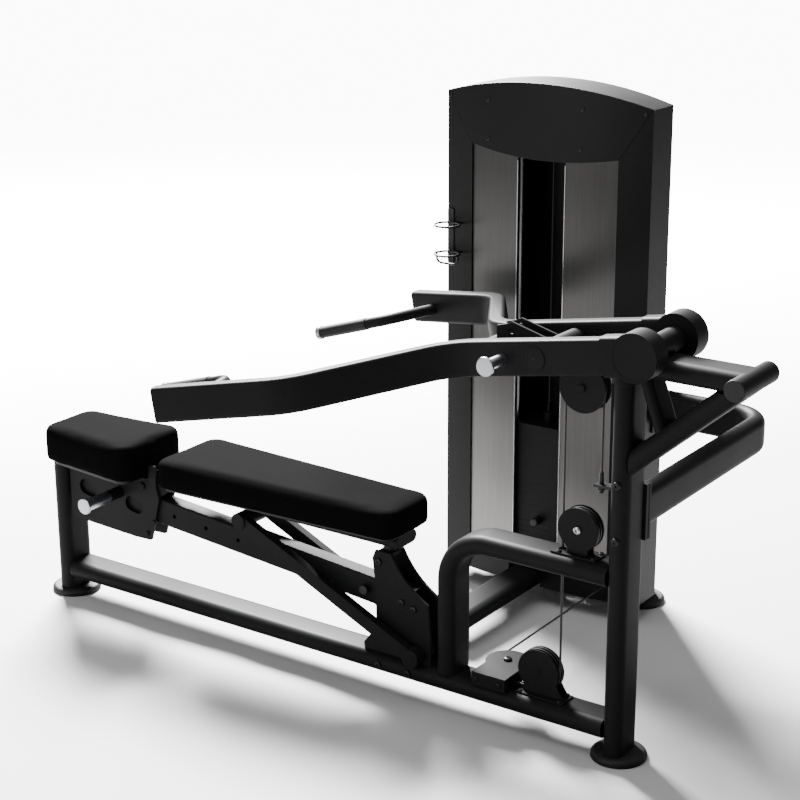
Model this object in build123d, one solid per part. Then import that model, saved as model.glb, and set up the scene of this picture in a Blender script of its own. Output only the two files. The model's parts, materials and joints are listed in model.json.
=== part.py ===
from build123d import *
from math import cos, hypot, radians, sin, tan
import os

# Selectorised multi-press: adjustable bench, overhead-pivot press arms, cable and weight tower.
# Frame: +X runs from the seat to the pivot post, +Y from the bench to the tower, +Z up, mm.
# The origin is the middle of the pivot post's foot, on the floor.

# Driving dimensions
TUBE_W, TUBE_T, WALL = 110, 55, 3          # flat-oval frame tube
RAIL_Z = 84                                # middle of the base rail
FOOT_R, FOOT_H = 75, 19
SEAT_POST_X = -1953
RAIL_SPLIT_X = -655
STEP_LEG_X, STEP_Z, STEP_BEND = -520, 511, 125
BEAM_Z = 1083                              # rear top beam
CROSSBAR_X, CROSSBAR_R, CROSSBAR_HALF = 320, 27.5, 93
DIAGONAL_Z = 842                           # where the diagonal leaves the pivot post

PIVOT_X, PIVOT_Z = 76, 1132                # press arm pivot
BARREL_R, BARREL_HALF, BUSH_WALL = 31, 77, 6
HUB_R, HUB_IN, HUB_OUT = 62, 78, 138
SHAFT_R = 18
ARM_TILT = 10                              # arms slope down towards the user
ARM_H, ARM_T, ARM_Y, COLLAR_L = 92, 46, 106, 60
ARM_BEND = 150
HANDLE_R, GRIP_R = 16, 18

MOVING_X, MOVING_Z, MOVING_R = -128, 992, 54      # pulley that the arms lift
HANGER_Z = 1078                                   # pin that the pulley hangs from
MIDDLE_X, MIDDLE_Z, MIDDLE_R = -130, 611, 52
LOWER_X, LOWER_Z, LOWER_R = -240, 182, 58
TURN_R = 58
CABLE_R = 3

BEAM_SLOPE = 4.66                          # the bench's slide rail falls towards the tower end
SLIDE_H, SLIDE_W, SLIDE_WALL = 80, 50, 4
SLIDE_X0, SLIDE_MID_X, SLIDE_MID_Z = -1925, -1380, 338
HOLE_PITCH, HOLE_R = 122.5, 6.5

HINGE_X, HINGE_Z = -1617, 425              # back pad hinge
STRUT_TOP = (-1215, 412)
STRUT_FOOT = (-616, 140)
STRUT_Y0, STRUT_Y1 = 45, 70

SEAT_X0, SEAT_X1, SEAT_HALF0, SEAT_HALF1 = -1962, -1592, 109, 143
SEAT_Z0, SEAT_Z1 = 462, 573
PAD_X0, PAD_X1, PAD_HALF0, PAD_HALF1 = -1482, -654, 143, 106
PAD_Z0, PAD_Z1 = 480, 565

TOWER_X, TOWER_HALF = -695, 344
TOWER_Y0, TOWER_Y1, TOWER_BOW = 747, 865, 36
TOWER_Z0, TOWER_Z1, TOWER_CROWN = 58, 1564, 50
STILE_HALF, WINDOW_HALF = 246, 80
PANEL_Z0, PANEL_Z1 = 175, 1415
POST_Y, POST_DX = 920, 268                 # rear uprights
LINK_Z, LINK_Y = 676, 830

STACK_Y, PLATE_W, PLATE_D, PLATE_T = 790, 300, 110, 18
PLATES, RESTING, STACK_Z0 = 20, 4, 187
TOP_PLATE_T = 26
ROD_DX, ROD_R = 114, 12.5
CABLE_PASS_R = 11
SADDLE_LENGTH = 62
SLIDE_X1, STOP_X = -640, -795
ROLLER_R, HINGE_R, KNUCKLE_R = 9, 8, 17
STRUT_TOP_R, STRUT_FOOT_R = 24, 27
PEG_X, PEG_Z, PEG_END = -1711, 387, 190    # the user's foot pegs under the seat
FRAME_X0, FRAME_X1, FRAME_Z0, FRAME_Z1 = -1500, -680, 438, 474
PAD_STOP_Z = 437.7
FRONT_TIE_X, REAR_TIE_X, ARM_PEG_X, ARM_COLLAR_X = -386, -203, -293, -14
HANDLE_BEND = 45
REAR_TIE_R, FRONT_TIE_R, ARM_PEG_R = 30, 33, 15
HANGER_X = MOVING_X
AXLE_R, ANCHOR_Z = 8, 775
SKID_X, SKID_Y0 = -727, 308
SEAT_POST_TOP, CAP_T = 446, 4
LINK_BEND = 95
UPRIGHT_TOP, ROD_TOP = 1507, 1400
STEM_R, PIN_R = 12, 5
CABLE_SPLIT_Z, RISE_Y, LOW_R, TOP_RUN_Z, STACK_RUN_Z = 245, 848, 50, 1528, 1380
SHEET, PANEL_RECESS, HEADER_SAG, HOLDER_R = 3, 5, 24, 38
RUN_FIT, GAP = 0.05, 0.3                   # shaft clearance, clearance between moving parts

os.makedirs("parts", exist_ok=True)
PARTS = {}


def keep(name, *shapes):
    """Store one sub-part under its node name."""
    solids = [s for shape in shapes for s in shape.solids()]
    PARTS[name] = solids[0] if len(solids) == 1 else Compound(children=solids)


def box(x0, x1, y0, y1, z0, z1):
    return Pos((x0 + x1) / 2, (y0 + y1) / 2, (z0 + z1) / 2) * Box(x1 - x0, y1 - y0, z1 - z0)


def rod(start, end, radius, bore=0):
    """Round bar or tube between two points."""
    start, end = Vector(*start), Vector(*end)
    plane = Plane(origin=start, z_dir=end - start)
    face = plane * Circle(radius)
    if bore:
        face = face - plane * Circle(bore)
    return extrude(face, (end - start).length)


def oval_bar(start, end, wide, width=TUBE_W, thick=TUBE_T, wall=WALL):
    """Straight flat-oval tube; wide is the direction of its long side."""
    start, end = Vector(*start), Vector(*end)
    plane = Plane(origin=start, x_dir=wide, z_dir=end - start)
    face = plane * SlotOverall(width, thick)
    if wall:
        face = face - plane * SlotOverall(width - 2 * wall, thick - 2 * wall)
    return extrude(face, (end - start).length)


def bent_tube(points, radii, wide, width=TUBE_W, thick=TUBE_T, wall=WALL):
    """Flat-oval tube along straight runs joined by bends."""
    path = FilletPolyline(*points, radius=radii)
    plane = Plane(origin=path @ 0, x_dir=wide, z_dir=path % 0)
    outer = sweep(plane * SlotOverall(width, thick), path=path)
    if not wall:
        return outer
    return outer - sweep(plane * SlotOverall(width - 2 * wall, thick - 2 * wall), path=path)


def round_tube(points, radii, radius, bore=0):
    path = FilletPolyline(*points, radius=radii) if len(points) > 2 else Polyline(*points)
    plane = Plane(origin=path @ 0, z_dir=path % 0)
    outer = sweep(plane * Circle(radius), path=path)
    return outer - sweep(plane * Circle(bore), path=path) if bore else outer


def plate_xz(outline, y0, y1, holes=(), corner=0):
    """Flat plate in the XZ plane between two Y values, with round holes (x, z, r)."""
    face = make_face(Polyline(*outline, close=True))
    if corner:
        face = fillet(face.vertices(), corner)
    solid = Plane(origin=(0, y1, 0), x_dir=(1, 0, 0), z_dir=(0, -1, 0)) * extrude(face, y1 - y0)
    for x, z, r in holes:
        solid = solid - rod((x, y0 - 1, z), (x, y1 + 1, z), r)
    return solid


def cone_foot(x, y):
    """Round levelling foot with a broad chamfer."""
    disc = Pos(x, y, FOOT_H / 2) * Cylinder(FOOT_R, FOOT_H)
    return chamfer(disc.edges().group_by(Axis.Z)[-1], 7)


def bolt(x, y, z, direction, r=9, h=7):
    """Button head that stands on a surface."""
    d = Vector(*direction).normalized()
    head = rod((x, y, z), Vector(x, y, z) + d * h, r)
    top = head.edges().filter_by(GeomType.CIRCLE).sort_by(Axis((x, y, z), (d.X, d.Y, d.Z)))[-1]
    return fillet(top, 3)


def slide_z(x):
    """Middle of the bench's slide rail at x."""
    return SLIDE_MID_Z - (x - SLIDE_MID_X) * tan(radians(BEAM_SLOPE))


def arm_z(x):
    """Middle of a press arm at x."""
    return PIVOT_Z - (PIVOT_X - x) * tan(radians(ARM_TILT))


def mirrored(shape):
    return mirror(shape, Plane.XZ)


def diagonal_rise():
    """How far the diagonal's middle sits below its top edge at the post, per half thickness."""
    return hypot(CROSSBAR_X, BEAM_Z - DIAGONAL_Z) / CROSSBAR_X


def sheave(centre, axis, cable_radius, bore=AXLE_R + RUN_FIT):
    """Grooved cable pulley; the cable's middle runs at cable_radius."""
    c, a = Vector(*centre), Vector(*axis)
    wheel = rod(c - a * 8, c + a * 8, cable_radius + 5, bore)
    groove = rod(c - a * (CABLE_R + GAP), c + a * (CABLE_R + GAP), cable_radius + 6,
                 cable_radius - CABLE_R - GAP)
    return wheel - groove


def cushion(x0, x1, half0, half1, z0, z1, corner=48, edge=22):
    """Pad that tapers in plan, with rounded corners and a soft top edge."""
    face = make_face(Polyline((x0, -half0), (x1, -half1), (x1, half1), (x0, half0), close=True))
    pad = Pos(0, 0, z0) * extrude(fillet(face.vertices(), corner), z1 - z0)
    return fillet(pad.edges().group_by(Axis.Z)[-1], edge)


def weight_plate(z0, rod_hole):
    plate = box(TOWER_X - PLATE_W / 2, TOWER_X + PLATE_W / 2, STACK_Y - PLATE_D / 2, STACK_Y + PLATE_D / 2,
                z0, z0 + PLATE_T)
    for dx, r in ((-ROD_DX, rod_hole), (ROD_DX, rod_hole), (0, STEM_R + GAP)):
        plate = plate - rod((TOWER_X + dx, STACK_Y, z0 - 1), (TOWER_X + dx, STACK_Y, z0 + PLATE_T + 1), r)
    return plate


# ---------------------------------------------------------------- base frame
half_w, half_t = TUBE_W / 2, TUBE_T / 2
rail_top = RAIL_Z + half_t
step_top = STEP_Z + half_t
skid = oval_bar((SKID_X, SKID_Y0, RAIL_Z), (SKID_X, POST_Y - half_w, RAIL_Z), (1, 0, 0))
skid_clear = oval_bar((SKID_X, SKID_Y0 - CAP_T, RAIL_Z), (SKID_X, POST_Y, RAIL_Z), (1, 0, 0), wall=0)
left_x, right_x = TOWER_X - POST_DX, TOWER_X + POST_DX
stack_rail = oval_bar((TOWER_X - 250, STACK_Y, RAIL_Z), (TOWER_X + 250, STACK_Y, RAIL_Z), (0, 1, 0))
keep("base_frame",
     oval_bar((SEAT_POST_X + half_t, 0, RAIL_Z), (RAIL_SPLIT_X, 0, RAIL_Z), (0, 1, 0)),
     oval_bar((RAIL_SPLIT_X, 0, RAIL_Z), (-half_t, 0, RAIL_Z), (0, 1, 0)))
keep("tower_base", skid, stack_rail - skid_clear,
     oval_bar((left_x + half_t, POST_Y, RAIL_Z), (right_x - half_t, POST_Y, RAIL_Z), (0, 1, 0)),
     rod((SKID_X, 345, 0), (SKID_X, 345, RAIL_Z - half_t), 30))
keep("seat_post", oval_bar((SEAT_POST_X, 0, FOOT_H), (SEAT_POST_X, 0, SEAT_POST_TOP), (0, 1, 0)))
collar = Pos(0, 0, BEAM_Z - half_t - 24) * extrude(SlotOverall(TUBE_W + 12, TUBE_T + 12, rotation=90), 23)
post = oval_bar((0, 0, FOOT_H), (0, 0, BEAM_Z - half_t), (0, 1, 0))
collar = collar - oval_bar((0, 0, FOOT_H), (0, 0, BEAM_Z), (0, 1, 0), wall=0)
keep("pivot_post", post, collar)
keep("feet", *[cone_foot(x, y) for x, y in
               ((SEAT_POST_X, 0), (0, 0), (left_x, POST_Y), (right_x, POST_Y))])
step = bent_tube(((STEP_LEG_X, 0, rail_top), (STEP_LEG_X, 0, STEP_Z), (-half_t, 0, STEP_Z)),
                 STEP_BEND, (0, 1, 0))
run_x = MIDDLE_X - MIDDLE_R
lug = plate_xz(((STEP_LEG_X - half_t, rail_top), (STEP_LEG_X - half_t, rail_top + 48),
                (STEP_LEG_X - half_t - 12, rail_top + 48), (STEP_LEG_X - half_t - 22, rail_top)), -12, 12)
keep("step_tube", step - rod((run_x, 0, STEP_Z - 40), (run_x, 0, STEP_Z + 40), CABLE_PASS_R), lug)

# ---------------------------------------------------------------- rear support of the arm pivot
pivot_line = ((PIVOT_X, -BARREL_HALF, PIVOT_Z), (PIVOT_X, BARREL_HALF, PIVOT_Z))
bush_r = SHAFT_R + BUSH_WALL
bushes = []
for side in (-1, 1):
    bushes.append(rod((PIVOT_X, side * BARREL_HALF, PIVOT_Z), (PIVOT_X, side * (BARREL_HALF - 30), PIVOT_Z),
                      bush_r, SHAFT_R + RUN_FIT))
keep("pivot_barrel", rod(*pivot_line, BARREL_R, bush_r), *bushes)
crossbar_line = ((CROSSBAR_X, -CROSSBAR_HALF, BEAM_Z), (CROSSBAR_X, CROSSBAR_HALF, BEAM_Z))
crossbar_solid = rod(*crossbar_line, CROSSBAR_R)
beam = oval_bar((-half_t, 0, BEAM_Z), (CROSSBAR_X, 0, BEAM_Z), (0, 1, 0))
beam = beam - crossbar_solid - rod(*pivot_line, BARREL_R)
keep("rear_beam", max(beam.solids(), key=lambda s: s.volume))
diagonal_foot = Vector(0, 0, DIAGONAL_Z - half_t * diagonal_rise())
diagonal_top = Vector(CROSSBAR_X, 0, BEAM_Z)
diagonal_unit = (diagonal_top - diagonal_foot).normalized()
saddle_foot = diagonal_top - diagonal_unit * SADDLE_LENGTH
post_block = box(-200, half_t, -80, 80, 600, 1100)
beam_block = box(-100, 400, -80, 80, BEAM_Z - half_t, 1200)
diagonal = oval_bar(diagonal_foot, saddle_foot, (0, 1, 0)) - post_block - beam_block
saddle = oval_bar(saddle_foot, diagonal_top, (0, 1, 0), wall=0) - crossbar_solid - beam_block
brace = oval_bar((44, 0, BEAM_Z), (118, 0, 880), (0, 1, 0), 84, 34, 0) - beam_block - post_block - collar
brace = brace - oval_bar(diagonal_foot, diagonal_top, (0, 1, 0), wall=0)
keep("rear_brace", *[max(shape.solids(), key=lambda s: s.volume) for shape in (diagonal, saddle, brace)],
     rod(*crossbar_line, CROSSBAR_R, CROSSBAR_R - WALL))
cap_y = CROSSBAR_HALF + CAP_T
caps = []
for s in (-1, 1):
    caps.append(rod((CROSSBAR_X, s * CROSSBAR_HALF, BEAM_Z), (CROSSBAR_X, s * cap_y, BEAM_Z), CROSSBAR_R))
caps.append(Pos(SEAT_POST_X, 0, SEAT_POST_TOP) * extrude(SlotOverall(TUBE_W, TUBE_T, rotation=90), CAP_T))
caps.append(oval_bar((SKID_X, SKID_Y0 - CAP_T, RAIL_Z), (SKID_X, SKID_Y0, RAIL_Z), (1, 0, 0), wall=0))
keep("tube_caps", *caps)

# ---------------------------------------------------------------- bench slide rail and pedestal
slide_start = Vector(SLIDE_X0, 0, slide_z(SLIDE_X0))
slide_run = Vector(SLIDE_X1, 0, slide_z(SLIDE_X1)) - slide_start
slide_plane = Plane(origin=slide_start, x_dir=(0, 1, 0), z_dir=slide_run)
section = slide_plane * RectangleRounded(SLIDE_W, SLIDE_H, 5)
section = section - slide_plane * Rectangle(SLIDE_W - 2 * SLIDE_WALL, SLIDE_H - 2 * SLIDE_WALL)
rail = extrude(section, slide_run.length) - box(-2000, SEAT_POST_X + half_t, -60, 60, 300, 460)
for i in range(-1, 4):
    x = SLIDE_MID_X + (i - 1) * HOLE_PITCH
    rail = rail - rod((x, -SLIDE_W, slide_z(x)), (x, SLIDE_W, slide_z(x)), HOLE_R)
stop_z = slide_z(STOP_X)
keep("slide_rail", rail - rod((STOP_X, -SLIDE_W, stop_z), (STOP_X, SLIDE_W, stop_z), 6))
stop = rod((STOP_X, -42, stop_z), (STOP_X, 30, stop_z), 6)
stop = stop + rod((STOP_X, -42, stop_z), (STOP_X, -33, stop_z), 14)
keep("end_stop_pin", stop + rod((STOP_X, -33, stop_z), (STOP_X, -SLIDE_W / 2, stop_z), 10))

foot_x, foot_z = STRUT_FOOT
side_y = SLIDE_W / 2
with BuildSketch() as pedestal_sketch:
    with BuildLine():
        ThreePointArc((-706, 416), (-655, 345), (-582, 292))
        Polyline((-582, 292), (-572, rail_top), (-798, rail_top), (-800, rail_top + 18), (-757, 186),
                 (-757, 300), (-768, 392), (-758, 416), (-706, 416))
    make_face()
pedestal = []
for y0, y1 in ((-side_y - 8, -side_y), (side_y, side_y + 8)):
    plate = extrude(pedestal_sketch.sketch, y1 - y0)
    plate = Plane(origin=(0, y1, 0), x_dir=(1, 0, 0), z_dir=(0, -1, 0)) * plate
    pedestal.append(plate - rod((foot_x, y0 - 1, foot_z), (foot_x, y1 + 1, foot_z), STRUT_FOOT_R + RUN_FIT))
keep("pedestal", *pedestal, box(-752, -706, -side_y, side_y, 404, 416))

# ---------------------------------------------------------------- seat carriage
cy0, cy1 = 28, 36
outline = ((-1917, 262), (-1917, 452), (-1592, 452), (-1587, 497), (-1562, 497),
           (-1562, 430), (-1552, 394), (-1576, 305), (-1590, 256), (-1652, 254), (-1846, 262))
near_plate = plate_xz(outline, -cy1, -cy0, ((HINGE_X, HINGE_Z, HINGE_R + RUN_FIT),), corner=7)
for x, z in ((-1843, 372), (-1654, 357)):
    plane = Plane(origin=(x, 0, z), x_dir=(cos(radians(12)), 0, -sin(radians(12))), z_dir=(0, -1, 0))
    near_plate = near_plate - extrude(plane * SlotOverall(70, 48), 60)
carriage = [near_plate, mirrored(near_plate)]
offset = SLIDE_H / 2 / cos(radians(BEAM_SLOPE)) + ROLLER_R + GAP
for x, above in ((-1880, 1), (-1690, 1), (-1880, -1), (-1600, -1)):
    z = slide_z(x) + above * offset
    carriage.append(rod((x, -cy0, z), (x, cy0, z), ROLLER_R))
carriage += [bolt(x, s * cy1, z, (0, s, 0), 8, 5) for s in (-1, 1) for x, z in ((-1604, 276), (-1574, 318))]
carriage.append(box(-1785, -1745, -cy0, cy0, 440, 452))
keep("seat_carriage", *carriage)
pegs, bright = [], []
for s in (-1, 1):
    y1 = s * (PEG_END - 8)
    pegs.append(rod((PEG_X, s * cy1, PEG_Z), (PEG_X, y1, PEG_Z), 12))
    pegs.append(rod((PEG_X, s * cy1, PEG_Z), (PEG_X, s * 88, PEG_Z), 18, 12))
    bright.append(rod((PEG_X, s * 88, PEG_Z), (PEG_X, y1, PEG_Z), 18, 12))
    cap = rod((PEG_X, y1, PEG_Z), (PEG_X, s * PEG_END, PEG_Z), 24)
    bright.append(fillet(cap.edges().filter_by(GeomType.CIRCLE), 2))
keep("foot_pegs", *pegs)
keep("foot_peg_sleeves", *bright)
keep("seat_pad", cushion(SEAT_X0, SEAT_X1, SEAT_HALF0, SEAT_HALF1, SEAT_Z0, SEAT_Z1),
     cushion(SEAT_X0 + 25, SEAT_X1 - 20, SEAT_HALF0 - 20, SEAT_HALF1 - 20, 452, SEAT_Z0, 30, 2))

# ---------------------------------------------------------------- back pad, its frame and hinge
frame_z = (FRAME_Z0 + FRAME_Z1) / 2
frame_h = FRAME_Z1 - FRAME_Z0
back_bar = oval_bar((FRAME_X0, 0, frame_z), (FRAME_X1, 0, frame_z), (0, 1, 0), 100, frame_h)
back_cap = oval_bar((FRAME_X1, 0, frame_z), (FRAME_X1 + 4, 0, frame_z), (0, 1, 0), 100, frame_h, 0)
neck_line = ((0, -KNUCKLE_R), (8, 14), (20, 3), (38, -3), (62, 18), (97, 46), (117, 49), (117, 13), (64, -25))
knuckle = plate_xz(tuple((HINGE_X + dx, HINGE_Z + dz) for dx, dz in neck_line), -cy0 + 1, cy0 - 1)
knuckle = knuckle + rod((HINGE_X, -cy0 + 1, HINGE_Z), (HINGE_X, cy0 - 1, HINGE_Z), KNUCKLE_R)
hinge_pin = rod((HINGE_X, -cy1 - GAP, HINGE_Z), (HINGE_X, cy1 + GAP, HINGE_Z), HINGE_R)
pin_ends = []
for s in (-1, 1):
    pin_ends.append(rod((HINGE_X, s * (cy1 + GAP), HINGE_Z), (HINGE_X, s * (cy1 + 6), HINGE_Z), 12))
keep("back_frame", back_bar, back_cap, knuckle - hinge_pin, hinge_pin + pin_ends[0] + pin_ends[1])
keep("back_pad", cushion(PAD_X0, PAD_X1, PAD_HALF0, PAD_HALF1, PAD_Z0, PAD_Z1),
     cushion(PAD_X0 + 20, PAD_X1 - 20, PAD_HALF0 - 18, PAD_HALF1 - 18, FRAME_Z1, PAD_Z0, 32, 2))

# ---------------------------------------------------------------- support strut
top_x, top_z = STRUT_TOP
strut_run = Vector(foot_x - top_x, 0, foot_z - top_z)
top_tube = rod((top_x, -STRUT_Y1, top_z), (top_x, STRUT_Y1, top_z), STRUT_TOP_R)
foot_tube = rod((foot_x, -STRUT_Y1, foot_z), (foot_x, STRUT_Y1, foot_z), STRUT_FOOT_R)
bars = []
for s in (-1, 1):
    plane = Plane(origin=(top_x, s * (STRUT_Y0 + STRUT_Y1) / 2, top_z), x_dir=(0, 1, 0), z_dir=strut_run)
    bar = extrude(plane * Rectangle(STRUT_Y1 - STRUT_Y0, 40), strut_run.length)
    bars.append(bar - top_tube - foot_tube)
top_bore = rod((top_x, -STRUT_Y1, top_z), (top_x, STRUT_Y1, top_z), STRUT_TOP_R - WALL)
foot_bore = rod((foot_x, -STRUT_Y1, foot_z), (foot_x, STRUT_Y1, foot_z), STRUT_FOOT_R - WALL)
keep("strut_frame", *bars, top_tube - top_bore, foot_tube - foot_bore)
ends = []
for x, z, r in ((top_x, top_z, STRUT_TOP_R), (foot_x, foot_z, STRUT_FOOT_R)):
    for s in (-1, 1):
        cap = rod((x, s * STRUT_Y1, z), (x, s * (STRUT_Y1 + 5), z), r)
        ends.append(fillet(cap.edges().filter_by(GeomType.CIRCLE).sort_by(Axis.Y)[0 if s < 0 else -1], 2))
keep("strut_end_caps", *ends)

# ---------------------------------------------------------------- press arms
arm_up = (-sin(radians(ARM_TILT)), 0, cos(radians(ARM_TILT)))
plan = ((46, ARM_Y), (-455, ARM_Y), (-690, 490), (-1031, 581))
arm_path = FilletPolyline(*[(x, y, arm_z(x)) for x, y in plan], radius=ARM_BEND)
arm_plane = Plane(origin=arm_path @ 0, x_dir=arm_up, z_dir=arm_path % 0)
arm = sweep(arm_plane * RectangleRounded(ARM_H, ARM_T, 11), path=arm_path)
arm = arm - sweep(arm_plane * RectangleRounded(ARM_H - 2 * WALL, ARM_T - 2 * WALL, 8), path=arm_path)
arm_out, arm_in = ARM_Y + ARM_T / 2, ARM_Y - ARM_T / 2
rear_tie_z, front_tie_z, peg_z = arm_z(REAR_TIE_X), arm_z(FRONT_TIE_X), arm_z(ARM_PEG_X)
rear_tie = rod((REAR_TIE_X, -arm_out, rear_tie_z), (REAR_TIE_X, arm_out, rear_tie_z), REAR_TIE_R)
front_tie = rod((FRONT_TIE_X, -arm_in, front_tie_z), (FRONT_TIE_X, arm_in, front_tie_z), FRONT_TIE_R)
arm = arm - rear_tie - rod((PIVOT_X, HUB_IN - 1, PIVOT_Z), (PIVOT_X, HUB_OUT + 1, PIVOT_Z), HUB_R)
end_plane = Plane(origin=arm_path @ 1, x_dir=arm_up, z_dir=arm_path % 1)
plug = extrude(end_plane * RectangleRounded(ARM_H, ARM_T, 11), 4)
arm = [max(arm.solids(), key=lambda s: s.volume), plug]
arm_solid = sweep(arm_plane * RectangleRounded(ARM_H, ARM_T, 11), path=arm_path)
hub_line = ((PIVOT_X, HUB_IN, PIVOT_Z), (PIVOT_X, HUB_OUT, PIVOT_Z))
cap_seat = HUB_OUT - 3
hub = rod(*hub_line, HUB_R, SHAFT_R)
hub = hub - rod((PIVOT_X, cap_seat, PIVOT_Z), (PIVOT_X, HUB_OUT, PIVOT_Z), HUB_R - 5.5)
hub_cap = rod((PIVOT_X, cap_seat, PIVOT_Z), (PIVOT_X, HUB_OUT - 1, PIVOT_Z), HUB_R - 5.5)
collar_plane = Plane(origin=(ARM_COLLAR_X, ARM_Y, arm_z(ARM_COLLAR_X)), x_dir=arm_up,
                     z_dir=(cos(radians(ARM_TILT)), 0, sin(radians(ARM_TILT))))
ring = collar_plane * RectangleRounded(ARM_H + 10, ARM_T + 8, 14)
ring = ring - collar_plane * RectangleRounded(ARM_H, ARM_T, 11)
arm_collar = extrude(ring, COLLAR_L)
arm_collar = arm_collar - rod((PIVOT_X, HUB_IN - 9, PIVOT_Z), (PIVOT_X, HUB_OUT + 9, PIVOT_Z), HUB_R)
arm_collar = arm_collar.solids().sort_by(Axis.X)[0]
keep("press_arm_far", *arm)
keep("press_arm_near", *[mirrored(s) for s in arm])
keep("arm_hubs", hub, hub_cap, arm_collar, *[mirrored(s) for s in (hub, hub_cap, arm_collar)])
keep("pivot_shaft", rod((PIVOT_X, -cap_seat, PIVOT_Z), (PIVOT_X, cap_seat, PIVOT_Z), SHAFT_R))
discs = []
for s in (-1, 1):
    disc_end = (REAR_TIE_X, s * (arm_out + 2.5), rear_tie_z)
    discs.append(rod((REAR_TIE_X, s * arm_out, rear_tie_z), disc_end, REAR_TIE_R + 2.5))
keep("arm_ties", front_tie, rear_tie, *discs)

web_outline = ((-375, 1040), (-375, 1118), (-346, 1126), (-330, 1134), (-215, 1104), (-110, 1094),
               (HANGER_X + 15, HANGER_Z + 6), (HANGER_X + 12, HANGER_Z - 12), (HANGER_X - 4, HANGER_Z - 16),
               (-180, 1045), (-290, 1036))
web = plate_xz(web_outline, 20, 26, ((-331, 1111, 9), (-331, 1085, 5)))
web = web - front_tie - rear_tie - rod((HANGER_X, 15, HANGER_Z), (HANGER_X, 30, HANGER_Z), 8)
web = max(web.solids(), key=lambda s: s.volume)
hanger_pin = rod((HANGER_X, -30, HANGER_Z), (HANGER_X, 30, HANGER_Z), 8)
keep("arm_web", web, mirrored(web), hanger_pin)
arm_pegs = []
for s in (-1, 1):
    arm_pegs.append(rod((ARM_PEG_X, s * arm_out, peg_z), (ARM_PEG_X, s * 204, peg_z), ARM_PEG_R))
    cap = rod((ARM_PEG_X, s * 204, peg_z), (ARM_PEG_X, s * 212, peg_z), 25)
    arm_pegs.append(fillet(cap.edges().filter_by(GeomType.CIRCLE), 2.5))
handle_points = [(-948, 556, 947), (-989, 355, 950), (-1215, 340, 880)]
handle = round_tube(handle_points, HANDLE_BEND, HANDLE_R, HANDLE_R - 3) - arm_solid
handle = max(handle.solids(), key=lambda s: s.volume)
b, c = Vector(*handle_points[1]), Vector(*handle_points[2])
grip_dir = (c - b).normalized()
grip = rod(c - grip_dir * 165, c, GRIP_R, HANDLE_R)
knob = rod(c, c + grip_dir * 14, GRIP_R + 2)
knob = fillet(knob.edges().filter_by(GeomType.CIRCLE), 2)
keep("handles", handle, mirrored(handle))
keep("handle_grips", grip, mirrored(grip))
keep("bright_pegs", *arm_pegs, knob, mirrored(knob))

# ---------------------------------------------------------------- pulleys
cover = rod((MOVING_X, 13, MOVING_Z), (MOVING_X, 17, MOVING_Z), 66)
strap_line = ((-20, MOVING_Z), (-20, HANGER_Z + 8), (-10, HANGER_Z + 18), (10, HANGER_Z + 18),
              (20, HANGER_Z + 8), (20, MOVING_Z))
strap = plate_xz(tuple((MOVING_X + dx, z) for dx, z in strap_line), 13, 17)
cheek = cover + strap - rod((HANGER_X, 10, HANGER_Z), (HANGER_X, 20, HANGER_Z), 8 + RUN_FIT)
axle = rod((MOVING_X, -19, MOVING_Z), (MOVING_X, 19, MOVING_Z), AXLE_R)
cheek = cheek - axle
nuts = [bolt(MOVING_X, s * 17, MOVING_Z, (0, s, 0), 11, 6) - axle for s in (-1, 1)]
keep("moving_yoke", cheek, mirrored(cheek), axle, *nuts)
keep("moving_sheave", sheave((MOVING_X, 0, MOVING_Z), (0, 1, 0), MOVING_R))

middle_cheek = rod((MIDDLE_X, 13, MIDDLE_Z), (MIDDLE_X, 17, MIDDLE_Z), 59)
middle_cheek = middle_cheek + box(MIDDLE_X - 30, MIDDLE_X + 30, 13, 17, step_top + 5, MIDDLE_Z)
middle_axle = rod((MIDDLE_X, -19, MIDDLE_Z), (MIDDLE_X, 19, MIDDLE_Z), AXLE_R)
middle_cheek = middle_cheek - middle_axle
middle_base = box(MIDDLE_X - 72, MIDDLE_X + 60, -30, 30, step_top, step_top + 5)
middle_base = middle_base - rod((run_x, 0, step_top - 1), (run_x, 0, step_top + 6), CABLE_PASS_R)
keep("middle_bracket", middle_cheek, mirrored(middle_cheek), middle_base, middle_axle)
keep("middle_sheave", sheave((MIDDLE_X, 0, MIDDLE_Z), (0, 1, 0), MIDDLE_R))
middle_bolts = [bolt(MIDDLE_X, s * 17, MIDDLE_Z, (0, s, 0), 12, 8) - middle_axle for s in (-1, 1)]

lower_cheek = rod((LOWER_X, 13, LOWER_Z), (LOWER_X, 17, LOWER_Z), 62)
cheek_line = ((-45, rail_top + 5), (-45, LOWER_Z), (50, LOWER_Z - 20), (78, rail_top + 5))
lower_cheek = lower_cheek + plate_xz(tuple((LOWER_X + dx, z) for dx, z in cheek_line), 13, 17)
lower_axle = rod((LOWER_X, -19, LOWER_Z), (LOWER_X, 19, LOWER_Z), AXLE_R)
lower_cheek = lower_cheek - lower_axle
lower_cheek = lower_cheek - box(LOWER_X - 100, LOWER_X + 100, 0, 50, 100, rail_top + 5)
keep("lower_bracket", lower_cheek, mirrored(lower_cheek), lower_axle,
     box(LOWER_X - 62, LOWER_X + 84, -30, 30, rail_top, rail_top + 5))
keep("lower_sheave", sheave((LOWER_X, 0, LOWER_Z), (0, 1, 0), LOWER_R))

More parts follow.
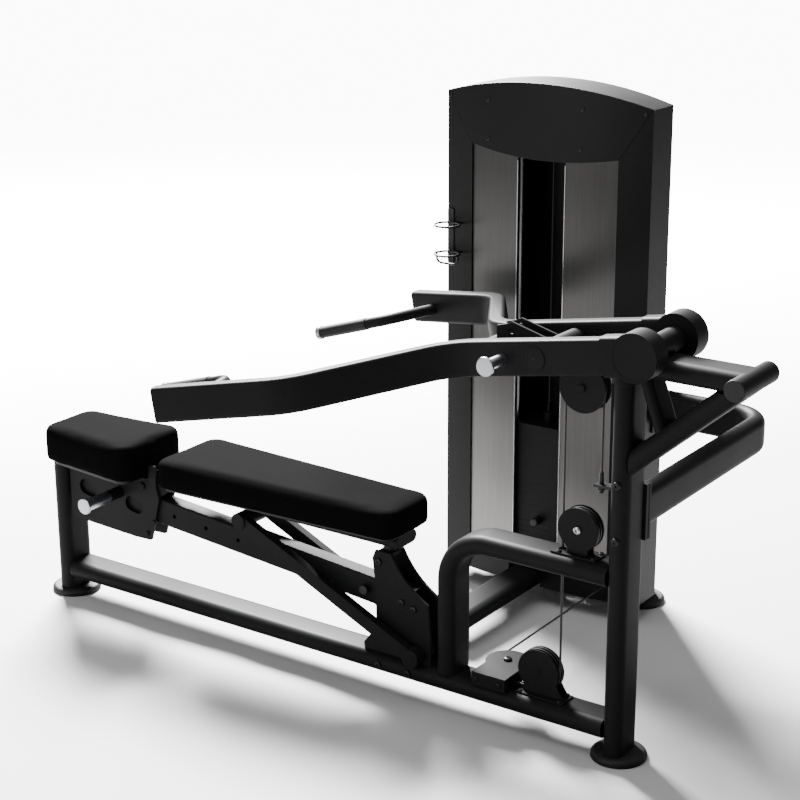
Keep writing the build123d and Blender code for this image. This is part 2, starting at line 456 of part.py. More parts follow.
run_z = LOWER_Z - LOWER_R
turn_x, turn_y = LOWER_X - 140, TURN_R
turn_axle = rod((turn_x, turn_y, rail_top), (turn_x, turn_y, run_z + 30), AXLE_R)
turn_top = rod((turn_x, turn_y, run_z + 23), (turn_x, turn_y, run_z + 26), 62)
turn_top = turn_top + box(turn_x - 45, turn_x + 60, -half_w, turn_y, run_z + 23, run_z + 26) - turn_axle
turn_foot = box(turn_x - 45, turn_x + 60, -half_w, turn_y + 25, rail_top, rail_top + 3) - turn_axle
turn_wall = box(turn_x - 45, turn_x + 60, -half_w, -half_w + 22, rail_top + 3, run_z + 23)
keep("turn_bracket", turn_top, turn_foot, turn_wall, turn_axle)
keep("turn_sheave", sheave((turn_x, turn_y, run_z), (0, 0, 1), TURN_R))
turn_bolts = [bolt(turn_x + dx, -half_w, run_z + 6, (0, -1, 0), 7, 5) for dx in (-30, 42)]
turn_bolts.append(bolt(turn_x, turn_y, run_z + 26, (0, 0, 1), 12, 8) - turn_axle)

anchor_x = MOVING_X + MOVING_R
anchor_shelf = box(anchor_x - 16, -half_t, -14, 14, ANCHOR_Z - 38, ANCHOR_Z - 30)
anchor_shelf = anchor_shelf - rod((anchor_x, 0, ANCHOR_Z - 60), (anchor_x, 0, ANCHOR_Z), 6)
anchor_shelf = anchor_shelf + box(-half_t - 5, -half_t, -14, 14, ANCHOR_Z - 70, ANCHOR_Z - 30)
terminal = rod((anchor_x, 0, ANCHOR_Z - 55), (anchor_x, 0, ANCHOR_Z), 6)
terminal = terminal + rod((anchor_x, 0, ANCHOR_Z - 46), (anchor_x, 0, ANCHOR_Z - 38), 11)
keep("cable_anchor", anchor_shelf, terminal)

bolts = middle_bolts + turn_bolts
bolts += [bolt(0, -half_w, z, (0, -1, 0), 11, 6) for z in (770, 620)]
bolts += [bolt(x, -half_w, RAIL_Z, (0, -1, 0), 10, 6) for x in (-735, -635)]
bolts += [bolt(x, s * (side_y + 8), z, (0, s, 0), 10, 6) for s in (-1, 1)
          for x, z in ((-670, 281), (-629, 270), (-746, 385))]
bolts += [bolt(MIDDLE_X + dx, y, step_top + 5, (0, 0, 1), 7, 5) for dx in (-50, 50) for y in (-22, 22)]
bolts += [bolt(LOWER_X + dx, y, rail_top + 5, (0, 0, 1), 6, 5) for dx in (-50, 70) for y in (-23.6, 23.6)]
keep("frame_bolts", *bolts)

# ---------------------------------------------------------------- link to the tower, uprights, stack rails
link = bent_tube(((0, half_w + 8, LINK_Z), (0, LINK_Y, LINK_Z), (TOWER_X + TOWER_HALF + 6, LINK_Y, LINK_Z)),
                 LINK_BEND, (0, 0, 1))
link_cut = oval_bar((0, 0, 400), (0, 0, 900), (0, 1, 0), wall=0)
link_flange = Pos(0, half_w + 4, LINK_Z) * Box(70, 8, 150)
wall_flange = Pos(TOWER_X + TOWER_HALF + 3, LINK_Y, LINK_Z) * Box(6, 62, 150)
root_block = box(-34, 34, 40, half_w, LINK_Z - 75, LINK_Z + 75) - link_cut
keep("link_tube", link, link_flange, wall_flange, root_block)
uprights = [oval_bar((x, POST_Y, FOOT_H), (x, POST_Y, UPRIGHT_TOP), (0, 1, 0)) for x in (left_x, right_x)]
top_beam = oval_bar((left_x + half_t, POST_Y, 1480), (right_x - half_t, POST_Y, 1480), (0, 1, 0))
rod_top = box(TOWER_X - 150, TOWER_X + 150, STACK_Y - 25, TOWER_Y1 - 3, ROD_TOP, ROD_TOP + 12)
rod_top = rod_top - rod((TOWER_X, STACK_Y, ROD_TOP - 1), (TOWER_X, STACK_Y, ROD_TOP + 13), CABLE_PASS_R)
keep("tower_uprights", *uprights, top_beam, rod_top)
rods = [rod((TOWER_X + s * ROD_DX, STACK_Y, rail_top), (TOWER_X + s * ROD_DX, STACK_Y, ROD_TOP), ROD_R)
        for s in (-1, 1)]
keep("guide_rods", *rods)
cushions = []
for x in (TOWER_X - ROD_DX, TOWER_X + ROD_DX):
    cushions.append(rod((x, STACK_Y, rail_top), (x, STACK_Y, STACK_Z0), 26, ROD_R))
bumper = fillet(rod((-729, 0, 416), (-729, 0, PAD_STOP_Z), 20).edges().group_by(Axis.Z)[-1], 4)
keep("rubber_bumpers", bumper, *cushions)

# ---------------------------------------------------------------- weight stack
resting = [weight_plate(STACK_Z0 + i * PLATE_T, ROD_R + GAP) for i in range(RESTING)]
keep("resting_plates", *resting)
lift_z0 = STACK_Z0 + RESTING * PLATE_T + GAP
pin_z = lift_z0 + PLATE_T / 2
pin_start, pin_end = (TOWER_X, STACK_Y - PLATE_D / 2 - 25, pin_z), (TOWER_X, STACK_Y + 20, pin_z)
lifted = [weight_plate(lift_z0 + i * PLATE_T, ROD_R + GAP) for i in range(PLATES - RESTING)]
lifted[0] = lifted[0] - rod(pin_start, pin_end, PIN_R + RUN_FIT)
keep("lifted_plates", *lifted)
top_z0 = lift_z0 + (PLATES - RESTING) * PLATE_T
crown = box(TOWER_X - PLATE_W / 2, TOWER_X + PLATE_W / 2, STACK_Y - PLATE_D / 2, STACK_Y + PLATE_D / 2,
            top_z0, top_z0 + TOP_PLATE_T)
crown_top = top_z0 + TOP_PLATE_T
head_top, neck_top = crown_top + 34, crown_top + 62
for x in (TOWER_X - ROD_DX, TOWER_X + ROD_DX):
    crown = crown - rod((x, STACK_Y, top_z0 - 1), (x, STACK_Y, crown_top + 1), ROD_R + RUN_FIT)
stem = rod((TOWER_X, STACK_Y, STACK_Z0 + 4), (TOWER_X, STACK_Y, crown_top), STEM_R)
head = rod((TOWER_X, STACK_Y, crown_top), (TOWER_X, STACK_Y, head_top), 17)
neck = rod((TOWER_X, STACK_Y, head_top), (TOWER_X, STACK_Y, neck_top), 8)
keep("stack_stem", (crown + stem + head + neck) - rod(pin_start, pin_end, PIN_R + RUN_FIT))
pin = rod((TOWER_X, STACK_Y - PLATE_D / 2 - 2, pin_z), (TOWER_X, STACK_Y + 16, pin_z), PIN_R)
knob_y = STACK_Y - PLATE_D / 2 - 1
grip_knob = rod((TOWER_X, knob_y - 26, pin_z), (TOWER_X, knob_y, pin_z), 13)
keep("selector_pin", pin + fillet(grip_knob.edges().filter_by(GeomType.CIRCLE), 3))

# ---------------------------------------------------------------- cable
keep("cable_run_fixed", rod((anchor_x, 0, ANCHOR_Z), (anchor_x, 0, MOVING_Z), CABLE_R))
wrap_path = ThreePointArc((anchor_x, 0, MOVING_Z), (MOVING_X, 0, MOVING_Z + MOVING_R), (run_x, 0, MOVING_Z))
keep("cable_wrap", sweep(Plane(origin=wrap_path @ 0, z_dir=wrap_path % 0) * Circle(CABLE_R), path=wrap_path))
keep("cable_run_long", rod((run_x, 0, CABLE_SPLIT_Z), (run_x, 0, MOVING_Z), CABLE_R))
turn_run_x = turn_x - TURN_R
low_y = RISE_Y - LOW_R
route = [(run_x, 0, CABLE_SPLIT_Z), (run_x, 0, run_z), (turn_run_x, 0, run_z), (turn_run_x, RISE_Y, run_z),
         (turn_run_x, RISE_Y, TOP_RUN_Z), (TOWER_X, STACK_Y, TOP_RUN_Z), (TOWER_X, STACK_Y, STACK_RUN_Z)]
cable_base = round_tube(route, (LOWER_R, TURN_R, LOW_R, LOW_R, LOW_R), CABLE_R)
keep("cable_base", cable_base)
keep("cable_stack_run", rod((TOWER_X, STACK_Y, neck_top), (TOWER_X, STACK_Y, STACK_RUN_Z), CABLE_R))
across = Vector(TOWER_X - turn_run_x, STACK_Y - RISE_Y, 0).normalized()
across_axis = Vector(-across.Y, across.X, 0)
top_a = Vector(turn_run_x, RISE_Y, TOP_RUN_Z - LOW_R) + across * LOW_R
top_b = Vector(TOWER_X, STACK_Y, TOP_RUN_Z - LOW_R) - across * LOW_R
low_c = Vector(turn_run_x, low_y, run_z + LOW_R)
tower_wheels = []
for centre, axis in ((low_c, Vector(1, 0, 0)), (top_a, across_axis), (top_b, across_axis)):
    tower_wheels.append(sheave(centre, axis, LOW_R))
    tower_wheels.append(rod(centre - axis * 12, centre + axis * 12, AXLE_R))
inner_y = TOWER_Y1 - 3
for s in (-1, 1):
    x0, x1 = sorted((turn_run_x + s * 12, turn_run_x + s * 15))
    tower_wheels.append(box(x0, x1, low_y - 20, inner_y, run_z + LOW_R - 20, run_z + LOW_R + 20))
    mid = (top_a + top_b) / 2 + across_axis * (s * 13.5)
    bar_plane = Plane(origin=mid - Vector(0, 0, 25), x_dir=across, z_dir=(0, 0, 1))
    bar = extrude(bar_plane * Rectangle((top_b - top_a).length + 60, 3), 50)
    tower_wheels.append(bar - box(-1100, -300, inner_y, 950, 1300, 1600))
bridge_a, bridge_b = TOWER_X + 60, TOWER_X + 120
bridge = box(bridge_a, bridge_b, STACK_Y, inner_y, TOP_RUN_Z - LOW_R - 25, TOP_RUN_Z - LOW_R + 25)
mid = (top_a + top_b) / 2
clear_plane = Plane(origin=mid - Vector(0, 0, 40), x_dir=across, z_dir=(0, 0, 1))
bridge = bridge - extrude(clear_plane * Rectangle(600, 30), 80)
tower_wheels.append(max(bridge.solids(), key=lambda s: s.volume))
keep("tower_pulleys", *tower_wheels)

# ---------------------------------------------------------------- tower shroud
corner_dx, side_x = STILE_HALF, TOWER_HALF
z_low, z_high = TOWER_Z0, TOWER_Z1
bow_r = (TOWER_HALF ** 2 + TOWER_BOW ** 2) / (2 * TOWER_BOW)
bow_y = TOWER_Y0 - TOWER_BOW + bow_r
crown_r = (TOWER_HALF ** 2 + TOWER_CROWN ** 2) / (2 * TOWER_CROWN)
crown_z = TOWER_Z1 + TOWER_CROWN - crown_r
eave_r = (STILE_HALF ** 2 + HEADER_SAG ** 2) / (2 * HEADER_SAG)


def bowed_sheet(depth=0, thick=SHEET):
    """Full-height bowed front sheet of the tower, depth mm behind its face."""
    sheet = Pos(TOWER_X, bow_y, 0) * extrude(Circle(bow_r - depth) - Circle(bow_r - depth - thick), 1700)
    return sheet & box(TOWER_X - TOWER_HALF, TOWER_X + TOWER_HALF, 700, TOWER_Y1, 0, 1700)


def face_prism(*corners):
    """Prism through the tower's front from corners (dx from its middle, z)."""
    return plate_xz(tuple((TOWER_X + dx, z) for dx, z in corners), 690, 800)


front = bowed_sheet()
skid_gap = box(SKID_X - half_w - 2, SKID_X + half_w + 2, 600, 900, 0, rail_top + 2)
cable_gap = Pos(turn_run_x, 720, run_z) * Box(24, 120, 24)
stiles = []
for s in (-1, 1):
    cut = face_prism((s * corner_dx, z_low), (s * corner_dx, PANEL_Z1),
                     (s * side_x, z_high), (s * side_x, z_low))
    stile = front & cut
    x0, x1 = sorted((TOWER_X + s * side_x, TOWER_X + s * (side_x - SHEET)))
    side_wall = box(x0, x1, TOWER_Y0 + SHEET, TOWER_Y1, z_low, z_high)
    stiles.append((stile + side_wall) - cable_gap)
keep("tower_stiles", *stiles)

crown_disc = Pos(TOWER_X, 0, crown_z) * Rot(90, 0, 0) * extrude(Circle(crown_r), 2000, both=True)
inner_disc = Pos(TOWER_X, 0, crown_z) * Rot(90, 0, 0) * extrude(Circle(crown_r - SHEET), 2000, both=True)
header = front & face_prism((-corner_dx, PANEL_Z1), (-side_x, z_high), (-side_x, 1680), (side_x, 1680),
                            (side_x, z_high), (corner_dx, PANEL_Z1))
sag_z = PANEL_Z1 - HEADER_SAG + eave_r
sag = Pos(TOWER_X, 0, sag_z) * Rot(90, 0, 0) * extrude(Circle(eave_r), 2000, both=True)
lip = front & sag & face_prism((-corner_dx, PANEL_Z1), (corner_dx, PANEL_Z1),
                               (corner_dx, 1300), (-corner_dx, 1300))
header = (header & crown_disc) + lip
screws = []
for dx, z in ((-332, 1551), (-187, 1551), (133, 1551), (321, 1551), (-185, 1436), (129, 1436)):
    y = bow_y - (bow_r ** 2 - dx ** 2) ** 0.5
    screws.append(bolt(TOWER_X + dx, y + 1, z, (dx / bow_r, -1, 0), 5, 3.5) - front)
keep("tower_header", header, *screws)

body = Pos(TOWER_X, bow_y, 0) * extrude(Circle(bow_r - SHEET), 1700)
body = body & box(TOWER_X - TOWER_HALF + SHEET, TOWER_X + TOWER_HALF - SHEET, 700, TOWER_Y1, 0, 1700)
above = body & box(-1100, -300, 700, TOWER_Y1, z_high - 1, 1700)
roof = (above & crown_disc) - inner_disc
rear = box(TOWER_X - TOWER_HALF + SHEET, TOWER_X + TOWER_HALF - SHEET, inner_y, TOWER_Y1, z_low, 1700)
rear = rear & inner_disc
lower_rail = front & face_prism((-corner_dx, z_low), (corner_dx, z_low),
                                (corner_dx, PANEL_Z0), (-corner_dx, PANEL_Z0))
keep("tower_shell", roof, rear - skid_gap, lower_rail - skid_gap)

recessed = bowed_sheet(PANEL_RECESS, 2)
panels = []
for s in (-1, 1):
    sheet = recessed & face_prism((s * corner_dx, PANEL_Z0), (s * corner_dx, PANEL_Z1 - 1),
                                  (s * WINDOW_HALF, PANEL_Z1 - 1), (s * WINDOW_HALF, PANEL_Z0))
    sheet = sheet - header - lip
    edge_y = bow_y - ((bow_r - PANEL_RECESS - 2) ** 2 - WINDOW_HALF ** 2) ** 0.5
    x0, x1 = sorted((TOWER_X + s * WINDOW_HALF, TOWER_X + s * (WINDOW_HALF + 2)))
    fold = box(x0, x1, edge_y - 1, edge_y + 9, PANEL_Z0, PANEL_Z1 - 26)
    panels.append(max((sheet + fold).solids(), key=lambda p: p.volume))
keep("tower_panels", *panels)

holder_x, holder_y = -1011, 700
strip = box(-1035, -1014, TOWER_Y0 - 8, TOWER_Y0, 1039, 1206) - body - front
strip = max(strip.solids(), key=lambda s: s.volume)
rings = []
for z in (1165, 1075):
    ring = Pos(holder_x, holder_y, z) * Torus(HOLDER_R, 3.5)
    rings.append(ring - box(-1060, -950, TOWER_Y0 - 8, TOWER_Y1, 1000, 1300) - front)
cradle = [(holder_x + dx, holder_y, z)
          for dx, z in ((-HOLDER_R, 1071.5), (-HOLDER_R, 1045), (HOLDER_R, 1045), (HOLDER_R, 1071.5))]
rings.append(round_tube(cradle, 18, 3.5) - rings[1])
keep("bottle_holder", strip, *rings)

for name, shape in PARTS.items():
    export_step(shape, f"parts/{name}.step")
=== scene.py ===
"""Weight-stack multi-press: the finished pieces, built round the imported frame."""
import json
import math

import bmesh
import bpy
from bpy.props import FloatProperty, FloatVectorProperty, IntProperty, PointerProperty
from mathutils import Matrix, Vector


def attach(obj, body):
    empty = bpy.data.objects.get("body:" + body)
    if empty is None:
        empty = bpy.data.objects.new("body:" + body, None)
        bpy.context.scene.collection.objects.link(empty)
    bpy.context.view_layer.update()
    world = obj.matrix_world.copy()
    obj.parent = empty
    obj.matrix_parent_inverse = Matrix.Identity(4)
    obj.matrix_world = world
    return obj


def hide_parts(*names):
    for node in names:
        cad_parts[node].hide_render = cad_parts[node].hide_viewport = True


bl_info = {
    "name": "Multi-press",
    "version": (1, 0, 0),
    "blender": (4, 5, 0),
    "location": "3D View > Sidebar > Multi-press",
    "description": "Finishes a weight-stack multi-press on its packed frame",
    "category": "Object",
}

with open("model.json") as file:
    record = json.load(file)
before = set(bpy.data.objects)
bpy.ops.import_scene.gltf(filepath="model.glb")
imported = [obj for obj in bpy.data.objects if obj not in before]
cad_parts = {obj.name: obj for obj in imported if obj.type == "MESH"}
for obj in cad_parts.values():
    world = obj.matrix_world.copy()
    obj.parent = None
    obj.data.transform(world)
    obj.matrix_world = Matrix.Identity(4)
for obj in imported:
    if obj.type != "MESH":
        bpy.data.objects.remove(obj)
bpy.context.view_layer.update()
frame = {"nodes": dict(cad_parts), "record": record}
NODES = frame["nodes"]
BODIES = frame["record"]["behaviour"]["bodies"]
BODY_OF = {node: body for body, nodes in BODIES.items() for node in nodes}

# Meshes, in radians and metres
SHARP = math.radians(32)          # edges turned more than this stay crisp and are rounded off
FLAT = math.radians(0.5)          # faces this close to one plane are joined
MERGE = 1e-5                      # vertices this close are one
INSIDE = 0.001                    # a step from a face into its own solid
SCREW_SIZE = 0.03                 # solids smaller than this are screw heads
ROUNDING_STEPS = 2

# Widths of the rounded edges that differ from the metal's setting
HIGHLIGHT_EDGE = 0.0005
FINE_EDGE = 0.0006
SMALL_EDGE = 0.0008
MOULDED_EDGE = 0.001
SOFT_EDGE = 0.0015
PIN_EDGE = 0.002
PLATE_EDGE = 0.0022
FOOT_EDGE = 0.003

# The machine
TOWER_X = -0.695                  # middle of the tower's window
TOWER_FRONT = 0.6                 # whatever lies beyond this along +Y is on the tower
PLATE = 0.018                     # thickness of a weight plate
MIDDLE_BOLT = Vector((-0.130, 0.0, 0.611))   # the screws this near to it are bright
# the painted highlight along the window edges of the brushed sheets
HIGHLIGHT_REACH = 0.004                # the part of a sheet that counts as its inner edge
HIGHLIGHT_STOP = 0.03                  # the painted highlight ends this far below the sheet's top, under the header
HIGHLIGHT_DEPTH = 0.003
HEADER_SCREW_SCALE = 1.35         # the header's screws are drawn wider than their CAD heads
MARK_SUNK = 0.001
MARK_RISE = 0.0006
MARK_SIDES = 16

# Pads
PAD_INSET = 0.2                   # the cover starts this share of the swell inside the CAD pad
PAD_CLEAR_BOARD = 0.0005          # the cover stays this far above the pad's underside
CLOTH_FRAMES = 20
CLOTH_QUALITY = 4
SMOOTH_FACTOR = 0.5
SMOOTH_STEPS = 14

# Studio: name, place, aim and size of each light
LIGHTS = (
    ("key", (-4.6, 3.6, 5.0), (-0.8, 0.0, 0.2), (2.6, 2.6)),
    ("top", (-0.6, -0.4, 5.2), (-0.8, 0.0, 0.0), (4.0, 4.0)),
    ("front", (-2.6, -4.6, 2.0), (-0.8, 0.3, 0.7), (1.6, 2.4)),
)
FLOOR_SIZE = 30
FLOOR_DROP = 0.0005               # keeps the floor off the undersides of the feet
FADE_START, FADE_END = 2.2, 7.0   # distances over which the floor turns into the backdrop
FLOOR_BOUNCE = 0.3                # share of the floor's grey that lights the object
SENSOR_WIDTH = 36
VIEW_END = 200
WHITE = (1, 1, 1, 1)


# ---------------------------------------------------------------- settings
def colour_setting(name, description, default):
    return FloatVectorProperty(name=name, description=description, subtype="COLOR", size=3,
                               default=default, min=0, max=1)


def length_setting(name, description, default, least=0.0):
    return FloatProperty(name=name, description=description, default=default, min=least,
                         unit="LENGTH")


def strength_setting(name, description, default):
    return FloatProperty(name=name, description=description, default=default, min=0)


class FinishSettings(bpy.types.PropertyGroup):
    frame_colour: colour_setting(
        "Frame colour", "Powder coat on the tubes", (0.016, 0.016, 0.0165))
    shroud_colour: colour_setting(
        "Shroud colour", "Satin paint on the tower", (0.0032, 0.0032, 0.0034))
    pad_colour: colour_setting(
        "Pad colour", "Cover of the seat and back pads", (0.0046, 0.0046, 0.0048))
    panel_colour: colour_setting(
        "Panel colour", "Brushed sheets beside the window", (0.29, 0.286, 0.278))
    bright_colour: colour_setting(
        "Bright metal colour", "Pegs and end caps", (0.72, 0.73, 0.77))
    edge_radius: length_setting(
        "Edge radius", "Rounding on cut metal edges", 0.0012)


class PadSettings(bpy.types.PropertyGroup):
    voxel: length_setting(
        "Pad mesh size", "Grid of the pad's cover before it is blown up", 0.006, least=0.002)
    pressure: strength_setting(
        "Foam pressure", "How hard the foam fills the cover", 0.5)
    swell: length_setting(
        "Largest swell", "The most that a point of the cover moves", 0.004)
    clear: length_setting(
        "End clearance", "How far a pad's +X end stays inside the CAD pad", 0.001)
    saddle: length_setting(
        "Seat dip", "How far the seat's long sides are drawn down", 0.004)


class DetailSettings(bpy.types.PropertyGroup):
    screw_sides: IntProperty(
        name="Screw sides", description="Sides of a turned screw head", default=24, min=12)
    mark_radius: length_setting(
        "Cap mark", "Radius of the mark in the middle of an end cap", 0.0022)
    # painted highlight: width of the bright strip painted along each sheet's window edge
    edge_highlight_width: length_setting(
        "Window trim", "Width of the bright edge beside the window", 0.003)
    strand_pitch: length_setting(
        "Cable strand pitch", "Spacing of the cable's strands", 0.004, least=0.001)


class StageSettings(bpy.types.PropertyGroup):
    place: FloatVectorProperty(
        name="Camera place", description="Where the camera stands", size=3, unit="LENGTH",
        default=(2.074, -3.929, 2.402))
    azimuth: FloatProperty(
        name="Camera azimuth", description="Turn to the left of straight along +Y",
        default=math.radians(34.22), subtype="ANGLE")
    pitch: FloatProperty(
        name="Camera pitch", description="Tilt below the horizon",
        default=math.radians(17.61), subtype="ANGLE")
    lens: FloatProperty(
        name="Lens", description="Focal length on a 36 mm sensor", default=84.71, min=1)
    shift: FloatVectorProperty(
        name="Camera shift", description="Sideways and upward shift", size=2,
        default=(-0.0373, -0.0102))
    backdrop: strength_setting(
        "Backdrop strength", "Brightness of the wall behind", 11.0)
    fill: strength_setting(
        "Fill strength", "Light from all round", 0.18)
    key: strength_setting(
        "Key power", "Watts of the light behind and to the left", 4900.0)
    top: strength_setting(
        "Top power", "Watts of the softbox overhead", 70.0)
    front: strength_setting(
        "Front power", "Watts of the light at the front left", 46.0)
    floor_grey: FloatProperty(
        name="Floor grey", description="Brightness of the floor", default=0.9, min=0, max=1)


SETTINGS = {"mp_finish": FinishSettings, "mp_pads": PadSettings, "mp_detail": DetailSettings,
            "mp_stage": StageSettings}


# ---------------------------------------------------------------- shader groups
def new_group(name, inputs, outputs):
    """An empty shader group with its sockets, and its two ends."""
    group = bpy.data.node_groups.new(name, "ShaderNodeTree")
    for label, kind, value in inputs:
        socket = group.interface.new_socket(label, in_out="INPUT", socket_type=kind)
        socket.default_value = value
    for label, kind in outputs:
        group.interface.new_socket(label, in_out="OUTPUT", socket_type=kind)
    start = group.nodes.new("NodeGroupInput")
    end = group.nodes.new("NodeGroupOutput")
    return group, start, end


def add(tree, kind, values=None, **settings):
    """A node with its settings and plain input values."""
    node = tree.nodes.new(kind)
    for key, value in settings.items():
        setattr(node, key, value)
    for key, value in (values or {}).items():
        node.inputs[key].default_value = value
    return node


def grain_group():
    """Fine orange-peel grain of a powder coat or a moulded skin."""
    group, start, end = new_group(
        "Surface grain",
        [("Scale", "NodeSocketFloat", 700.0), ("Depth", "NodeSocketFloat", 0.2),
         ("Roughness", "NodeSocketFloat", 0.45), ("Spread", "NodeSocketFloat", 0.08)],
        [("Normal", "NodeSocketVector"), ("Roughness", "NodeSocketFloat")])
    link = group.links.new
    place = add(group, "ShaderNodeTexCoord")
    fine = add(group, "ShaderNodeTexNoise", {"Detail": 2.0})
    broad = add(group, "ShaderNodeTexNoise", {"Scale": 9.0, "Detail": 4.0})
    bump = add(group, "ShaderNodeBump", {"Distance": 0.0004})
    span = add(group, "ShaderNodeMath", {1: 0.5}, operation="SUBTRACT")
    scaled = add(group, "ShaderNodeMath", operation="MULTIPLY")
    total = add(group, "ShaderNodeMath", operation="ADD")
    link(place.outputs["Object"], fine.inputs["Vector"])
    link(place.outputs["Object"], broad.inputs["Vector"])
    link(start.outputs["Scale"], fine.inputs["Scale"])
    link(start.outputs["Depth"], bump.inputs["Strength"])
    link(fine.outputs["Fac"], bump.inputs["Height"])
    link(broad.outputs["Fac"], span.inputs[0])
    link(span.outputs[0], scaled.inputs[0])
    link(start.outputs["Spread"], scaled.inputs[1])
    link(start.outputs["Roughness"], total.inputs[0])
    link(scaled.outputs[0], total.inputs[1])
    link(bump.outputs["Normal"], end.inputs["Normal"])
    link(total.outputs[0], end.inputs["Roughness"])
    return group


def tone_group():
    """Slow change of tone over a surface, with a little dust on faces that look up."""
    group, start, end = new_group(
        "Tone and dust",
        [("Colour", "NodeSocketColor", (0.04, 0.04, 0.04, 1)),
         ("Variation", "NodeSocketFloat", 0.15), ("Dust", "NodeSocketFloat", 0.03)],
        [("Colour", "NodeSocketColor")])
    link = group.links.new
    place = add(group, "ShaderNodeTexCoord")
    broad = add(group, "ShaderNodeTexNoise", {"Scale": 5.0, "Detail": 5.0, "Roughness": 0.6})
    shade = add(group, "ShaderNodeMapRange", {"From Min": 0.3, "From Max": 0.7})
    low = add(group, "ShaderNodeMath", {0: 1.0}, operation="SUBTRACT")
    high = add(group, "ShaderNodeMath", {0: 1.0}, operation="ADD")
    tinted = add(group, "ShaderNodeVectorMath", operation="SCALE")
    split = add(group, "ShaderNodeSeparateXYZ")
    facing = add(group, "ShaderNodeMath", {1: 0.0}, operation="MAXIMUM")
    settle = add(group, "ShaderNodeMath", {1: 3.0}, operation="POWER")
    amount = add(group, "ShaderNodeMath", operation="MULTIPLY")
    dusty = add(group, "ShaderNodeMix", data_type="RGBA")
    dusty.inputs["B"].default_value = (0.45, 0.45, 0.44, 1)
    link(place.outputs["Object"], broad.inputs["Vector"])
    link(broad.outputs["Fac"], shade.inputs["Value"])
    link(start.outputs["Variation"], low.inputs[1])
    link(start.outputs["Variation"], high.inputs[1])
    link(low.outputs[0], shade.inputs["To Min"])
    link(high.outputs[0], shade.inputs["To Max"])
    link(start.outputs["Colour"], tinted.inputs[0])
    link(shade.outputs[0], tinted.inputs["Scale"])
    link(place.outputs["Normal"], split.inputs[0])
    link(split.outputs["Z"], facing.inputs[0])
    link(facing.outputs[0], settle.inputs[0])
    link(settle.outputs[0], amount.inputs[0])
    link(start.outputs["Dust"], amount.inputs[1])
    link(amount.outputs[0], dusty.inputs["Factor"])
    link(tinted.outputs[0], dusty.inputs["A"])
    link(dusty.outputs["Result"], end.inputs["Colour"])
    return group


def brush_group():
    """Upright brush lines of a ground sheet, with painted shade that can darken it towards its
    top.
    """
    group, start, end = new_group(
        "Upright brushing",
        [("Colour", "NodeSocketColor", (0.4, 0.4, 0.4, 1)), ("Contrast", "NodeSocketFloat", 0.12),
         ("Roughness", "NodeSocketFloat", 0.34), ("Depth", "NodeSocketFloat", 0.1),
         ("Top", "NodeSocketFloat", 1.0)],
        [("Colour", "NodeSocketColor"), ("Roughness", "NodeSocketFloat"),
         ("Normal", "NodeSocketVector")])
    link = group.links.new
    place = add(group, "ShaderNodeTexCoord")
    stretch = add(group, "ShaderNodeMapping", {"Scale": (1.0, 1.0, 0.006)})
    lines = add(group, "ShaderNodeTexNoise", {"Scale": 900.0, "Detail": 3.0})
    low = add(group, "ShaderNodeMath", {0: 1.0}, operation="SUBTRACT")
    high = add(group, "ShaderNodeMath", {0: 1.0}, operation="ADD")
    shade = add(group, "ShaderNodeMapRange", {"From Min": 0.3, "From Max": 0.7})
    tinted = add(group, "ShaderNodeVectorMath", operation="SCALE")
    rough = add(group, "ShaderNodeMath", operation="MULTIPLY")
    bump = add(group, "ShaderNodeBump", {"Distance": 0.0002})
    split = add(group, "ShaderNodeSeparateXYZ")
    # painted shade: the colour is scaled from 1 at 0.35 m high to Top at 1.35 m high
    fade = add(group, "ShaderNodeMapRange", {"From Min": 0.35, "From Max": 1.35, "To Min": 1.0})
    top_shaded = add(group, "ShaderNodeVectorMath", operation="SCALE")
    link(place.outputs["Object"], split.inputs[0])
    link(split.outputs["Z"], fade.inputs["Value"])
    link(start.outputs["Top"], fade.inputs["To Max"])
    link(start.outputs["Colour"], top_shaded.inputs[0])
    link(fade.outputs[0], top_shaded.inputs["Scale"])
    link(place.outputs["Object"], stretch.inputs["Vector"])
    link(stretch.outputs[0], lines.inputs["Vector"])
    link(lines.outputs["Fac"], shade.inputs["Value"])
    link(start.outputs["Contrast"], low.inputs[1])
    link(start.outputs["Contrast"], high.inputs[1])
    link(low.outputs[0], shade.inputs["To Min"])
    link(high.outputs[0], shade.inputs["To Max"])
    link(top_shaded.outputs[0], tinted.inputs[0])
    link(shade.outputs[0], tinted.inputs["Scale"])
    link(shade.outputs[0], rough.inputs[0])
    link(start.outputs["Roughness"], rough.inputs[1])
    link(start.outputs["Depth"], bump.inputs["Strength"])
    link(lines.outputs["Fac"], bump.inputs["Height"])
    link(tinted.outputs[0], end.inputs["Colour"])
    link(rough.outputs[0], end.inputs["Roughness"])
    link(bump.outputs["Normal"], end.inputs["Normal"])
    return group


